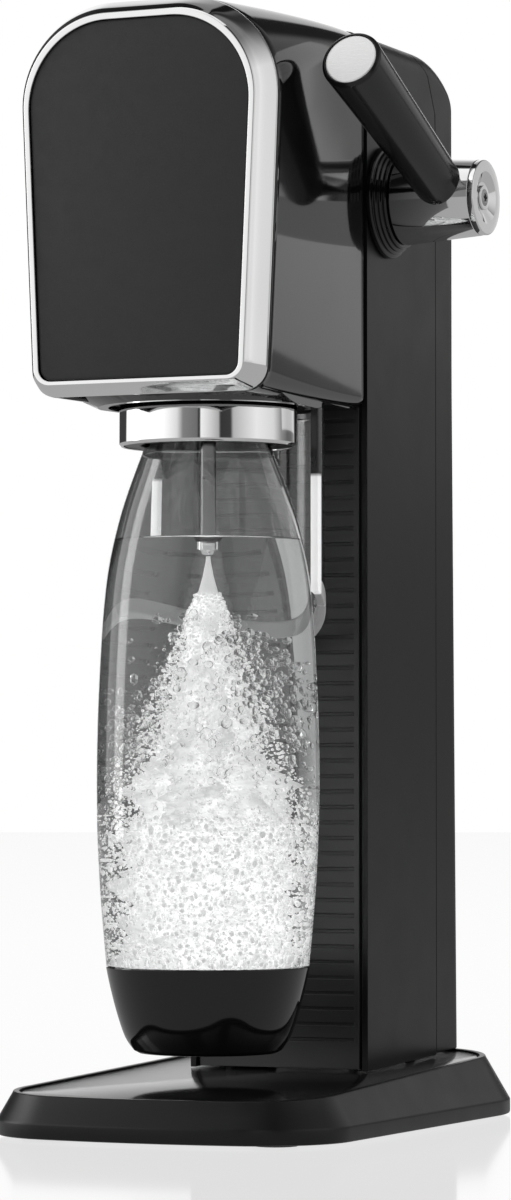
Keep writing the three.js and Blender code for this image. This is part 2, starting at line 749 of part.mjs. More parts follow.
const SHIELD_CENTRE_Y = BOTTLE_Y + 22.6;
const SHIELD_OUTER = 36.6;
const SHIELD_WALL = 2.2;
const SHIELD_RIM = 3.4;
const SHIELD_RIM_HEIGHT = 6;
const SHIELD_TOP = 281.4;
const SHIELD_BOTTOM = 187;
const SHIELD_BEND = 26;

// Half a tube round the shield's centre, open to the front.
function halfTube(thickness) {
  const outline = [
    ...arc(0, SHIELD_CENTRE_Y, SHIELD_OUTER, 0, Math.PI, 18),
    ...arc(0, SHIELD_CENTRE_Y, SHIELD_OUTER - thickness, Math.PI, 0, 18),
  ];
  return upright(outline, SHIELD_BOTTOM, SHIELD_TOP);
}

// All that lies above a U-shaped lower edge, raised by some height.
function aboveUCurve(raised) {
  const reach = SHIELD_OUTER + 0.4;
  const level = SHIELD_BOTTOM + SHIELD_BEND;
  const round = arc(0, 0, 1, Math.PI, Math.PI * 2, 12);
  const curve = round.map(([x, z]) => [x * reach, raised + level + z * SHIELD_BEND]);
  return alongY([...curve, [reach, 300], [-reach, 300]], SHIELD_CENTRE_Y - 10, 20);
}

// A clear half-round screen behind the bottle, hung from the holder. Its edge is a thicker U-shaped rim.
function bottleShield() {
  const outline = aboveUCurve(0);
  const wall = halfTube(SHIELD_WALL).intersect(outline);
  const frontEdges = block(-40, 40, SHIELD_CENTRE_Y - 1, SHIELD_CENTRE_Y + 4, SHIELD_BOTTOM, SHIELD_TOP);
  const lowerEdge = less(outline, aboveUCurve(SHIELD_RIM_HEIGHT));
  const rim = halfTube(SHIELD_RIM).intersect(joined(lowerEdge, frontEdges.intersect(outline)));
  const reach = SHIELD_OUTER - 1;
  const web = block(-15, 15, BOTTLE_Y + 35.2, SHIELD_CENTRE_Y + reach, 278.2, 280.9);
  return joined(wall, rim, web.intersect(turned(diskProfile(reach, 270, 290), 0, SHIELD_CENTRE_Y, 40)));
}

function nozzleTube() {
  return turned(ringProfile(1.6, 3, NOZZLE_TIP_Z + 8.6, 303), 0, BOTTLE_Y, 16);
}

function nozzleCollar() {
  return turned(ringProfile(1.6, 4.2, NOZZLE_TIP_Z + 4.8, NOZZLE_TIP_Z + 8.3), 0, BOTTLE_Y, 20);
}

function nozzleTip() {
  const z = NOZZLE_TIP_Z;
  const profile = [
    [0.6, z],
    [1.6, z],
    [2.6, z + 1.4],
    [2.6, z + 4.5],
    [1.4, z + 4.5],
    [0.6, z],
  ];
  return turned(profile, 0, BOTTLE_Y, 16);
}

function bottleSeal() {
  return turned(ringProfile(7, 18, BOTTLE_MOUTH + 0.3, HOLDER_BORE_TOP - 0.3), 0, BOTTLE_Y, 24);
}

function buildHolder() {
  add("collar_ring", collarRing(), FINISH.chrome);
  add("collar_insert", collarInsert(), FINISH.satinBlack);
  add("carbonation_head", carbonationHead(), FINISH.satinBlack);
  add("bottle_shield", bottleShield(), FINISH.clear);
  add("bottle_seal", bottleSeal(), FINISH.rubber);
  add("nozzle_tube", nozzleTube(), FINISH.steel);
  add("nozzle_collar", nozzleCollar(), FINISH.rubber);
  add("nozzle_tip", nozzleTip(), FINISH.chrome);
  add("pivot_pin_left", pivotPin(-1), FINISH.steel);
  add("pivot_pin_right", pivotPin(1), FINISH.steel);
}

// ---------------------------------------------------------------- bottle
function along(points, steps) {
  const curve = new THREE.SplineCurve(points.map(([radius, z]) => new THREE.Vector2(radius, z)));
  return curve.getPoints(steps).map((p) => [p.x, p.y]);
}

const bottleSide = along(
  [
    [39.2, BOTTLE_CUP_TOP + 0.4],
    [41.9, 98],
    [43.1, 133],
    [42.3, 172],
    [39.6, 211],
    [34.4, 237],
    [26.6, 260],
    [20.6, 274],
    [NECK_RADIUS, 281],
    [NECK_RADIUS, BOTTLE_MOUTH],
  ],
  9,
);

const cupSide = along(
  [
    [24, BOTTLE_FOOT],
    [28.6, BOTTLE_FOOT + 1.4],
    [32, BOTTLE_FOOT + 6.5],
    [35.1, BOTTLE_FOOT + 15.5],
    [37.7, BOTTLE_FOOT + 25.5],
    [39.4, BOTTLE_CUP_TOP],
  ],
  5,
);

function bottle() {
  const heel = cupSide.slice(0, -2).map(([radius, z]) => [radius - 1.9, z + 1.8]);
  const outside = [...heel, [37.5, BOTTLE_CUP_TOP + 0.4], ...bottleSide];
  const inside = outside
    .filter(([radius, z]) => radius < 37.4 || z > BOTTLE_CUP_TOP + 1)
    .map(([radius, z]) => [radius - BOTTLE_WALL, Math.max(z, BOTTLE_FOOT + 1.8 + BOTTLE_WALL)])
    .reverse();
  const floor = BOTTLE_FOOT + 1.8;
  return turned([[0, floor], ...outside, ...inside, [0, floor + BOTTLE_WALL]], 0, BOTTLE_Y, BOTTLE_SIDES);
}

function bottleCup() {
  const inside = cupSide.map(([radius, z]) => [radius - 1.5, Math.max(z, BOTTLE_FOOT + 1.4)]).reverse();
  return turned([[0, BOTTLE_FOOT], ...cupSide, ...inside, [0, BOTTLE_FOOT + 1.4]], 0, BOTTLE_Y, BOTTLE_SIDES);
}

function buildBottle() {
  add("bottle", bottle(), FINISH.clear);
  add("bottle_base_cup", bottleCup(), FINISH.glossBlack);
}

// ---------------------------------------------------------------- lever
const armDirection = new THREE.Vector3(0, -Math.cos(LEVER_ARM_RISE), Math.sin(LEVER_ARM_RISE));

// A solid of revolution about the lever arm's axis. Its profile lists [radius, distance from the hub axis].
function alongArm(profile, sides) {
  const points = profile.map(([radius, distance]) => new THREE.Vector2(radius, distance));
  const geometry = new THREE.LatheGeometry(points, sides);
  const turn = new THREE.Quaternion().setFromUnitVectors(new THREE.Vector3(0, 1, 0), armDirection);
  geometry.applyQuaternion(turn);
  geometry.translate(LEVER_ARM_X, LEVER_Y, LEVER_Z);
  return solid(geometry);
}

function leverHub() {
  const profile = [
    [SHAFT_RADIUS + GAP, HUB_START],
    [HUB_ROOT_RADIUS - 0.6, HUB_START],
    [HUB_ROOT_RADIUS, HUB_START + 0.6],
    [HUB_TIP_RADIUS, HUB_TIP - 2.6],
    [SHAFT_RADIUS + GAP, HUB_TIP - 2.6],
    [SHAFT_RADIUS + GAP, HUB_START],
  ];
  return turnedAlongX(profile, LEVER_Y, LEVER_Z, 32);
}

function hubCone(extra) {
  const profile = [
    [0, HUB_START - 5],
    [HUB_ROOT_RADIUS + 0.4 + extra, HUB_START - 5],
    [HUB_TIP_RADIUS + extra, HUB_TIP],
    [0, HUB_TIP],
  ];
  return turnedAlongX(profile, LEVER_Y, LEVER_Z, 32);
}

function leverArm() {
  const end = LEVER_ARM_LENGTH;
  const profile = [
    [0, 4],
    [ARM_ROOT_RADIUS, 4],
    [ARM_END_RADIUS, end - 2],
    [ARM_END_RADIUS - 0.5, end - 0.6],
    [ARM_END_RADIUS - 1.4, end],
    [10.6, end],
    [10.6, end - 1.6],
    [0, end - 1.6],
  ];
  return less(alongArm(profile, 24), hubCone(GAP));
}

function leverEndDisc() {
  const end = LEVER_ARM_LENGTH;
  const profile = [
    [0, end - 1.3],
    [10.3, end - 1.3],
    [10.3, end - 0.3],
    [9.9, end],
    [0, end],
  ];
  return alongArm(profile, 24);
}

function hubEndCap() {
  const back = HUB_TIP - 2.3;
  const profile = [
    [2.6, back],
    [HUB_TIP_RADIUS, back],
    [HUB_TIP_RADIUS - 0.4, HUB_TIP],
    [10.2, HUB_TIP],
    [6, HUB_TIP - 1.5],
    [2.6, HUB_TIP - 1.5],
    [2.6, back],
  ];
  return turnedAlongX(profile, LEVER_Y, LEVER_Z, 32);
}

function hubScrew() {
  const profile = [
    [0, HUB_TIP - 2.2],
    [2.2, HUB_TIP - 2.2],
    [2.2, HUB_TIP - 1.2],
    [4.6, HUB_TIP - 1.2],
    [4.6, HUB_TIP - 0.3],
    [2, HUB_TIP - 0.3],
    [2, HUB_TIP - 1.3],
    [0, HUB_TIP - 1.3],
  ];
  return turnedAlongX(profile, LEVER_Y, LEVER_Z, 20);
}

function leverFlange() {
  const wall = COLUMN_HALF_WIDTH + GAP;
  const profile = [
    [SHAFT_RADIUS + 1, wall],
    [22.4, wall],
    [22.4, wall + 2.4],
    [20.6, wall + 2.4],
    [20.6, wall + 4.8],
    [18.8, wall + 4.8],
    [18.8, wall + 7],
    [SHAFT_RADIUS + 1, wall + 7],
    [SHAFT_RADIUS + 1, wall],
  ];
  return turnedAlongX(profile, LEVER_Y, LEVER_Z, 32);
}

const SHAFT_END = CHASSIS_X + CHASSIS_THICKNESS + 1.6;

function leverShaft() {
  return turnedAlongX(diskProfile(SHAFT_RADIUS, -SHAFT_END, HUB_TIP - 3), LEVER_Y, LEVER_Z, 20);
}

const CAM_OFFSET = 1.5;
const CAM_RADIUS = 7.5;

// An eccentric disc on the shaft: it turns its high side down onto the rocker as the lever comes down.
function leverCam() {
  const lean = THREE.MathUtils.degToRad(20);
  const y = LEVER_Y - CAM_OFFSET * Math.cos(lean);
  const z = LEVER_Z + CAM_OFFSET * Math.sin(lean);
  const disc = turnedAlongX(diskProfile(CAM_RADIUS, -5, 5), y, z, 24);
  const bore = turnedAlongX(diskProfile(SHAFT_RADIUS + GAP, -6, 6), LEVER_Y, LEVER_Z, 16);
  return less(disc, bore);
}

function leverSpring() {
  const radius = SHAFT_RADIUS + 2.6;
  const turns = 4;
  const pitch = 3;
  const start = 11;
  const steps = turns * 10;
  const points = [];
  for (let i = 0; i <= steps; i++) {
    const angle = (i / 10) * Math.PI * 2;
    const x = start + (pitch * i) / 10;
    points.push([x, LEVER_Y + radius * Math.cos(angle), LEVER_Z + radius * Math.sin(angle)]);
  }
  return tubeAlong(points, 0.8, 5, steps);
}

function shaftBush(side) {
  const inner = side * (CHASSIS_X - 2);
  const wall = side * (CHASSIS_X - GAP);
  const outer = side * (CHASSIS_X + CHASSIS_THICKNESS + 0.6);
  const bore = SHAFT_RADIUS + 0.2;
  const profile = [
    [bore, inner],
    [10, inner],
    [10, wall],
    [7.9, wall],
    [7.9, outer],
    [bore, outer],
    [bore, inner],
  ];
  return turnedAlongX(side > 0 ? profile : profile.reverse(), LEVER_Y, LEVER_Z, 16);
}

function buildLever() {
  add("lever_hub", leverHub(), FINISH.chrome);
  add("lever_arm", leverArm(), FINISH.satinBlack);
  add("lever_end_disc", leverEndDisc(), FINISH.brushed);
  add("hub_end_cap", hubEndCap(), FINISH.chrome);
  add("hub_screw", hubScrew(), FINISH.steel);
  add("lever_flange", leverFlange(), FINISH.glossBlack);
  add("lever_shaft", leverShaft(), FINISH.steel);
  add("lever_cam", leverCam(), FINISH.greyPlastic);
  add("lever_return_spring", leverSpring(), FINISH.steel);
  add("shaft_bush_left", shaftBush(-1), FINISH.greyPlastic);
  add("shaft_bush_right", shaftBush(1), FINISH.greyPlastic);
}

// ---------------------------------------------------------------- gas side
const chassisScrews = [{ y: 70, z: 350 }];

function chassisPlate(side) {
  const outer = CHASSIS_X + CHASSIS_THICKNESS;
  const span = side < 0 ? [-outer, -CHASSIS_X] : [CHASSIS_X, outer];
  const outline = [[24, 318], [98, 318], [98, 344], [64, 396], [22, 396], [8, 372], [8, 344]];
  const holes = [
    { y: LEVER_Y, z: LEVER_Z, radius: 8.3 },
    { y: ROCKER_Y, z: ROCKER_Z, radius: 2.9 },
    ...chassisScrews.map(({ y, z }) => ({ y, z, radius: 2.1 })),
  ];
  return alongX(outline, span[0], span[1], holes);
}

function chassisScrew(side, { y, z }) {
  const head = side * (CHASSIS_X - 2.6);
  const seat = side * (CHASSIS_X - GAP);
  const end = side * (COLUMN_HALF_WIDTH - 1.2);
  const profile = [
    [0, head],
    [3.6, head],
    [3.6, seat],
    [1.6, seat],
    [1.6, end],
    [0, end],
  ];
  return turnedAlongX(side > 0 ? profile : profile.reverse(), y, z, 12);
}

function valveTray() {
  const edge = CHASSIS_X - GAP;
  const plate = block(-edge, edge, 36, 94, TRAY_BOTTOM, TRAY_TOP);
  return less(plate, turned(diskProfile(14, TRAY_BOTTOM - 1, TRAY_TOP + 1), 0, CYLINDER_Y, 32));
}

function valveBlock() {
  const low = TRAY_TOP + GAP;
  const body = block(-16, 16, CYLINDER_Y - 18, CYLINDER_Y + 18, low, 345);
  const profile = [
    [0, low - 1],
    [13.6, low - 1],
    [13.6, CYLINDER_NECK_TOP + 0.6],
    [10.6, CYLINDER_NECK_TOP + 0.6],
    [10.6, 350],
    [0, 350],
  ];
  const nipple = alongYCylinder(2.2, CYLINDER_Y - 26, CYLINDER_Y - 17, 0, 338);
  return less(joined(body, nipple), turned(profile, 0, CYLINDER_Y, 32));
}

function alongYCylinder(radius, front, rear, x, z) {
  const geometry = new THREE.CylinderGeometry(radius, radius, rear - front, 16);
  geometry.translate(x, (front + rear) / 2, z);
  return solid(geometry);
}

function gasCylinder() {
  const foot = CYLINDER_FOOT;
  const shoulder = along(
    [
      [CYLINDER_RADIUS, CYLINDER_SHOULDER],
      [27.5, CYLINDER_SHOULDER + 12],
      [19, CYLINDER_SHOULDER + 21],
      [13, CYLINDER_SHOULDER + 25],
    ],
    4,
  );
  const profile = [[0, foot], [28, foot], [CYLINDER_RADIUS, foot + 4], ...shoulder];
  profile.push([13, CYLINDER_NECK_TOP], [0, CYLINDER_NECK_TOP]);
  return turned(profile, 0, CYLINDER_Y, 24);
}

function cylinderValve() {
  const low = CYLINDER_NECK_TOP + GAP;
  const profile = [
    [0, low],
    [8, low],
    [8, low + 2],
    [10, low + 3],
    [10, 347],
    [3, 347],
    [3, 340],
    [0, 340],
  ];
  return turned(profile, 0, CYLINDER_Y, 20);
}

const PIN_TOP = 353.6;

function valvePin() {
  const profile = [
    [0, 344.2],
    [2, 344.2],
    [2, PIN_TOP - 1.6],
    [4, PIN_TOP - 1.6],
    [4, PIN_TOP],
    [0, PIN_TOP],
  ];
  return turned(profile, 0, CYLINDER_Y, 16);
}

function valveSpring() {
  const turns = 3;
  const low = 347.9;
  const pitch = 1.2;
  const points = [];
  for (let i = 0; i <= turns * 10; i++) {
    const angle = (i / 10) * Math.PI * 2;
    points.push([3 * Math.cos(angle), CYLINDER_Y + 3 * Math.sin(angle), low + (pitch * i) / 10]);
  }
  return tubeAlong(points, 0.35, 5, turns * 10);
}

function valveRocker() {
  const y = ROCKER_Y;
  const z = ROCKER_Z;
  const top = z + 2.6;
  const reach = y + 50;
  const tail = [[reach - 1, z - 3.6], [reach, z - 2.6], [reach, z - 0.4]];
  const outline = [[y, z - 4], ...tail, [y + 26, top], [y, top]];
  const beam = alongX(outline, -6, 6);
  const boss = turnedAlongX(diskProfile(5, -10, 10), y, z, 24);
  const bore = turnedAlongX(diskProfile(2.9, -12, 12), y, z, 20);
  return less(joined(beam, boss), bore);
}

function rockerPin() {
  const end = CHASSIS_X + CHASSIS_THICKNESS + 1;
  return turnedAlongX(diskProfile(2.5, -end, end), ROCKER_Y, ROCKER_Z, 16);
}

// A bail that swings up behind the valve to free the cylinder.
function lockHandle() {
  const y = CYLINDER_Y;
  const arms = [-1, 1].map((side) => {
    const span = side < 0 ? [-20, -17.5] : [17.5, 20];
    const bend = arc(y, LOCK_Z, 4, Math.PI / 2, Math.PI * 1.5, 8);
    return alongX([...bend, [y + 36, LOCK_Z - 4], [y + 36, LOCK_Z + 4]], ...span);
  });
  const grip = block(-20, 20, y + 32.5, y + 36, LOCK_Z - 8, LOCK_Z + 4);
  const pins = [-1, 1].map((side) => {
    const span = side < 0 ? [-18, -16.4] : [16.4, 18];
    return turnedAlongX(diskProfile(2.4, ...span), y, LOCK_Z, 16);
  });
  return joined(...arms, grip, ...pins);
}

function cylinderRest() {
  const low = deckAt(CYLINDER_Y + CYLINDER_RADIUS) + 1;
  const profile = [
    [0, low],
    [24, low],
    [24, CYLINDER_FOOT - 3],
    [31.5, CYLINDER_FOOT - 3],
    [31.5, CYLINDER_FOOT + 4],
    [30.6, CYLINDER_FOOT + 4],
    [30.6, CYLINDER_FOOT - GAP],
    [0, CYLINDER_FOOT - GAP],
  ];
  return turned(profile, 0, CYLINDER_Y, 20);
}

function gasHose() {
  const route = [
    [0, CYLINDER_Y - 26 - GAP, 338],
    [0, CYLINDER_Y - 31, 338],
    [4, 25, 336.5],
    [16, 8, 328],
    [28, -16, 318],
    [34, -42, 308],
    [38, -64, 299],
    [38.5, -75.5, 294.5],
  ];
  return tubeAlong(route, 2.3, 6, 16);
}

function hoseUnion() {
  return turnedAlongX(ringProfile(1.2, 3.4, 36, 41), HOLDER_PIVOT_Y, HOLDER_PIVOT_Z, 16);
}

function reliefValve() {
  const profile = [
    [0, 308.4],
    [5, 308.4],
    [5, 318],
    [3.4, 320],
    [0, 320],
  ];
  return turned(profile, 13, BOTTLE_Y + 8, 16);
}

function buildGasSide() {
  [-1, 1].forEach((side) => {
    const hand = side < 0 ? "left" : "right";
    add(`chassis_plate_${hand}`, chassisPlate(side), FINISH.greyPlastic);
    chassisScrews.forEach((place) => add(`chassis_screw_${hand}`, chassisScrew(side, place), FINISH.steel));
  });
  add("valve_tray", valveTray(), FINISH.greyPlastic);
  add("valve_block", valveBlock(), FINISH.greyPlastic);
  add("gas_cylinder", gasCylinder(), FINISH.cylinderPaint);
  add("cylinder_valve", cylinderValve(), FINISH.brass);
  add("cylinder_rest", cylinderRest(), FINISH.satinBlack);
  add("cylinder_lock_handle", lockHandle(), FINISH.greyPlastic);
  add("valve_pin", valvePin(), FINISH.steel);
  add("valve_pin_spring", valveSpring(), FINISH.steel);
  add("valve_rocker", valveRocker(), FINISH.greyPlastic);
  add("rocker_pin", rockerPin(), FINISH.steel);
  add("gas_hose", gasHose(), FINISH.rubber);
  add("hose_union", hoseUnion(), FINISH.brass);
  add("relief_valve", reliefValve(), FINISH.brass);
}

buildBase();
buildColumn();
buildHead();
buildHolder();
buildBottle();
buildLever();
buildGasSide();
export default root;
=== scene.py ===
"""Looks of a counter-top soda carbonator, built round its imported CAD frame.

Lengths here are millimetres in the CAD frame (+Z up, -Y to the front, +X to the lever's side) and are
turned into Blender's metres when a mesh is made. Most visible pieces replace a faceted CAD node with a
smooth mesh of the same size. Hidden pieces keep their CAD node and get a material and smooth shading.
"""

import json
import math

import bmesh
import bpy
import mathutils.noise
import numpy as np
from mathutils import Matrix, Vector


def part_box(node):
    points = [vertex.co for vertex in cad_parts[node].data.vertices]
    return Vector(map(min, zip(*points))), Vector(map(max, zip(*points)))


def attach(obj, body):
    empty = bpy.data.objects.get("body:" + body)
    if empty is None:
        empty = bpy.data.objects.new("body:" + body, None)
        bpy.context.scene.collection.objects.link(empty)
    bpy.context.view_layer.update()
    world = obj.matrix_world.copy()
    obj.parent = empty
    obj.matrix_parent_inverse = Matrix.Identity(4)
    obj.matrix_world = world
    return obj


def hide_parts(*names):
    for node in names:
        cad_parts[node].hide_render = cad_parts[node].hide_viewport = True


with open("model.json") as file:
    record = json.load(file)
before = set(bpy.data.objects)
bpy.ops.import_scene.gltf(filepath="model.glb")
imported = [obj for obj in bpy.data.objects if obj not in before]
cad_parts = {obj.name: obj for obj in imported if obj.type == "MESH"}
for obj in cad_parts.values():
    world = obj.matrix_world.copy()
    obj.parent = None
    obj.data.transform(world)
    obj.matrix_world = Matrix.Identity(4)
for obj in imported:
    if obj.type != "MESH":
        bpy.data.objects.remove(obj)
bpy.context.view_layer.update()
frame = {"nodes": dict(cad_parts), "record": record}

MM = 0.001
SEED = 20


def node_box(name):
    """Lowest and highest corner of a CAD node, in millimetres."""
    low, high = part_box(name)
    return [v / MM for v in low], [v / MM for v in high]


# ---- sizes
BOTTLE_LOW, BOTTLE_HIGH = node_box("bottle")
BOTTLE_Y = (BOTTLE_LOW[1] + BOTTLE_HIGH[1]) / 2
CUP_LOW, CUP_HIGH = node_box("bottle_base_cup")
RING_LOW, RING_HIGH = node_box("collar_ring")
PLATE_LOW, PLATE_HIGH = node_box("head_faceplate")
BEZEL_LOW, BEZEL_HIGH = node_box("head_bezel")
HEAD_LOW, HEAD_HIGH = node_box("head_shell")
COLUMN_LOW, COLUMN_HIGH = node_box("column_shell")
PANEL_LOW, PANEL_HIGH = node_box("column_front_panel")
BASE_LOW, BASE_HIGH = node_box("base_shell")
SHIELD_LOW, SHIELD_HIGH = node_box("bottle_shield")
SKIRT_LOW = node_box("head_underside_cover")[0]
TIP_LOW = node_box("nozzle_tip")[0]
FLANGE_LOW, FLANGE_HIGH = node_box("lever_flange")
HUB_LOW, HUB_HIGH = node_box("lever_hub")
CAP_LOW, CAP_HIGH = node_box("hub_end_cap")
LEVER_Y = (HUB_LOW[1] + HUB_HIGH[1]) / 2
LEVER_Z = (HUB_LOW[2] + HUB_HIGH[2]) / 2

DECK_HEIGHT = 20.6
DECK_SLOPE = 0.037
BAND_TOP = 6.8
FLANK_LEAN = 0.55
RIM_WIDTH = 2.6
RIM_STEP = 0.8
FRONT_CORNER = 38
REAR_CORNER = 55
FRONT_BOW = math.radians(9.3)
BASE_WALL = 2.6

COLUMN_GAP = 0.3
SHELL_WALL = 2.4
SEAM_Y = COLUMN_HIGH[1]
COLUMN_CORNER = 12
COLUMN_LEAN_TOP = 300
COLUMN_REAR_LEAN = 2.4
COLUMN_CORNER_LEAN = 3
COLUMN_REAR = 111
REAR_TOP_DEPTH = 38
REAR_TOP_DROP = 28
TOP_SHOULDER = 10
WALL_ROWS, SHOULDER_ROWS, TOP_ROWS = 30, 12, 5
SEAM_RADIUS = 26

HEAD_TOP_FRONT = 431.2
BEZEL_HALF_BOTTOM, BEZEL_HALF_TOP = 48.2, 54.8
PLATE_HALF_BOTTOM, PLATE_HALF_TOP = 41.2, 47.2
PLATE_GAP = 0.6
HEAD_FRONT = BEZEL_HIGH[1] + 0.3
SKIRT_INNER = 38.4

SHIELD_CENTRE_Y = SHIELD_LOW[1]
SHIELD_OUTER = SHIELD_HIGH[0]
SHIELD_WALL = 2.2
SHIELD_RIM_WALL = 3.4
SHIELD_RIM_HEIGHT = 6.0
SHIELD_BEND = 26
# Height where the shield rim's painted shade begins, and the length of its fade
RIM_PAINTED_SHADE_FROM = 254
RIM_PAINTED_SHADE_FADE = 1.5

BOTTLE_AXIS = (0, BOTTLE_Y, 0)
BOTTLE_WALL = 1.2
BOTTLE_NECK = 19.0
WATER_TOP = 229
PLUME_TOP = 220.5
ARM_RISE = math.radians(22.5)
ARM_LENGTH = 110
ARM_X = 66


def mixed(start, end, share):
    return start + (end - start) * share


def deck_at(y):
    return DECK_HEIGHT + DECK_SLOPE * y


# ---- mesh helpers
def mesh_object(name, points, faces, sharp=32):
    """A smooth-shaded object from points in millimetres, with edges sharper than an angle kept sharp."""
    mesh = bpy.data.meshes.new(name)
    mesh.from_pydata([tuple(c * MM for c in p) for p in points], [], faces)
    mesh.validate()
    built = bmesh.new()
    built.from_mesh(mesh)
    bmesh.ops.remove_doubles(built, verts=built.verts, dist=1e-6)
    bmesh.ops.recalc_face_normals(built, faces=built.faces)
    built.to_mesh(mesh)
    built.free()
    mesh.shade_smooth()
    mesh.set_sharp_from_angle(angle=math.radians(sharp))
    made = bpy.data.objects.new(name, mesh)
    bpy.context.scene.collection.objects.link(made)
    return made


def skin_faces(rows, columns, closed=True, first=0):
    """Quads over a grid of points listed row by row."""
    faces = []
    last = columns if closed else columns - 1
    for row in range(rows - 1):
        for column in range(last):
            a = first + row * columns + column
            b = first + row * columns + (column + 1) % columns
            faces.append((a, b, b + columns, a + columns))
    return faces


def loft(name, rings, caps=(True, True), closed=True, sharp=32):
    """A skin over rings of equal point counts, with flat caps at its ends where asked."""
    points = [p for ring in rings for p in ring]
    count = len(rings[0])
    faces = skin_faces(len(rings), count, closed)
    if caps[0]:
        faces.append(tuple(reversed(range(count))))
    if caps[1]:
        faces.append(tuple(range(len(points) - count, len(points))))
    return mesh_object(name, points, faces, sharp)


def arc(cx, cy, radius, start, end, steps):
    turn = [start + (end - start) * i / steps for i in range(steps + 1)]
    return [(cx + radius * math.cos(a), cy + radius * math.sin(a)) for a in turn]


def rounded(corners, steps=4):
    """A path through corners given as (u, v), or as (u, v, radius) where they are rounded."""
    path = []
    for i, corner in enumerate(corners):
        here = Vector(corner[:2])
        radius = corner[2] if len(corner) > 2 else 0
        if not radius or i in (0, len(corners) - 1):
            path.append(tuple(here))
            continue
        before = (Vector(corners[i - 1][:2]) - here).normalized()
        after = (Vector(corners[i + 1][:2]) - here).normalized()
        half = before.angle(after) / 2
        run = radius / math.tan(half)
        start, end = here + before * run, here + after * run
        centre = here + (before + after).normalized() * (radius / math.sin(half))
        for k in range(steps + 1):
            point = start.lerp(end, k / steps) - centre
            path.append(tuple(centre + point.normalized() * radius))
    return path


def spline(points, steps):
    """A Catmull-Rom curve through (u, v) points, with steps pieces to each span."""
    ends = [points[0], *points, points[-1]]
    path = []
    for i in range(len(points) - 1):
        p0, p1, p2, p3 = (np.array(ends[i + k], float) for k in range(4))
        for k in range(steps):
            t = k / steps
            cubic = 3 * (p1 - p2) + p3 - p0
            square = 2 * p0 - 5 * p1 + 4 * p2 - p3
            path.append(tuple(0.5 * (2 * p1 + (p2 - p0) * t + square * t * t + cubic * t * t * t)))
    return [*path, tuple(points[-1])]


def lathe(name, profile, centre, axis=(0, 0, 1), sides=96, sharp=32):
    """A solid of revolution from (radius, height) pairs. It closes on the axis or on itself."""
    turn = Vector((0, 0, 1)).rotation_difference(Vector(axis)).to_matrix()
    angles = [2 * math.pi * i / sides for i in range(sides)]
    rings = []
    for radius, height in profile:
        reach = max(radius, 1e-4)
        ring = [Vector((reach * math.cos(a), reach * math.sin(a), height)) for a in angles]
        rings.append([tuple(turn @ p + Vector(centre)) for p in ring])
    hollow = profile[0][0] > 0.01 and profile[0] == profile[-1]
    return loft(name, rings, caps=(not hollow, not hollow), sharp=sharp)


def dressed(piece, body, finish, *nodes):
    """Gives a piece its body and the material of its finish (a finish is a material and its slot), and
    hides the CAD nodes that it stands for."""
    material, slot = finish
    piece.data.materials.clear()
    piece.data.materials.append(material)
    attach(piece, body)
    if nodes:
        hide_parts(*nodes)


def turned(name, corners, centre, body, finish, *nodes, axis=(0, 0, 1), sides=96, sharp=32):
    """A dressed solid of revolution with rounded corners."""
    dressed(lathe(name, rounded(corners), centre, axis, sides, sharp), body, finish, *nodes)


def thickened(piece, thickness):
    """Gives an open skin its wall, on the inner side."""
    solid = piece.modifiers.new("wall", "SOLIDIFY")
    solid.thickness = thickness * MM
    solid.offset = -1
    solid.use_even_offset = True


def edged(piece, width, segments=2, angle=35):
    """Rounds the sharp edges of a piece."""
    bevel = piece.modifiers.new("edges", "BEVEL")
    bevel.width = width * MM
    bevel.segments = segments
    bevel.limit_method = "ANGLE"
    bevel.angle_limit = math.radians(angle)
    bevel.harden_normals = True


# ---- materials
def new_node(nodes, kind, **values):
    """A shader node with some of its sockets set. An underscore stands for a space."""
    node = nodes.new("ShaderNode" + kind)
    for socket, value in values.items():
        node.inputs[socket.replace("_", " ")].default_value = value
    return node


def grey(tone):
    """A colour from a single shade, or a colour as it is."""
    return tone if isinstance(tone, tuple) else (tone,) * 3


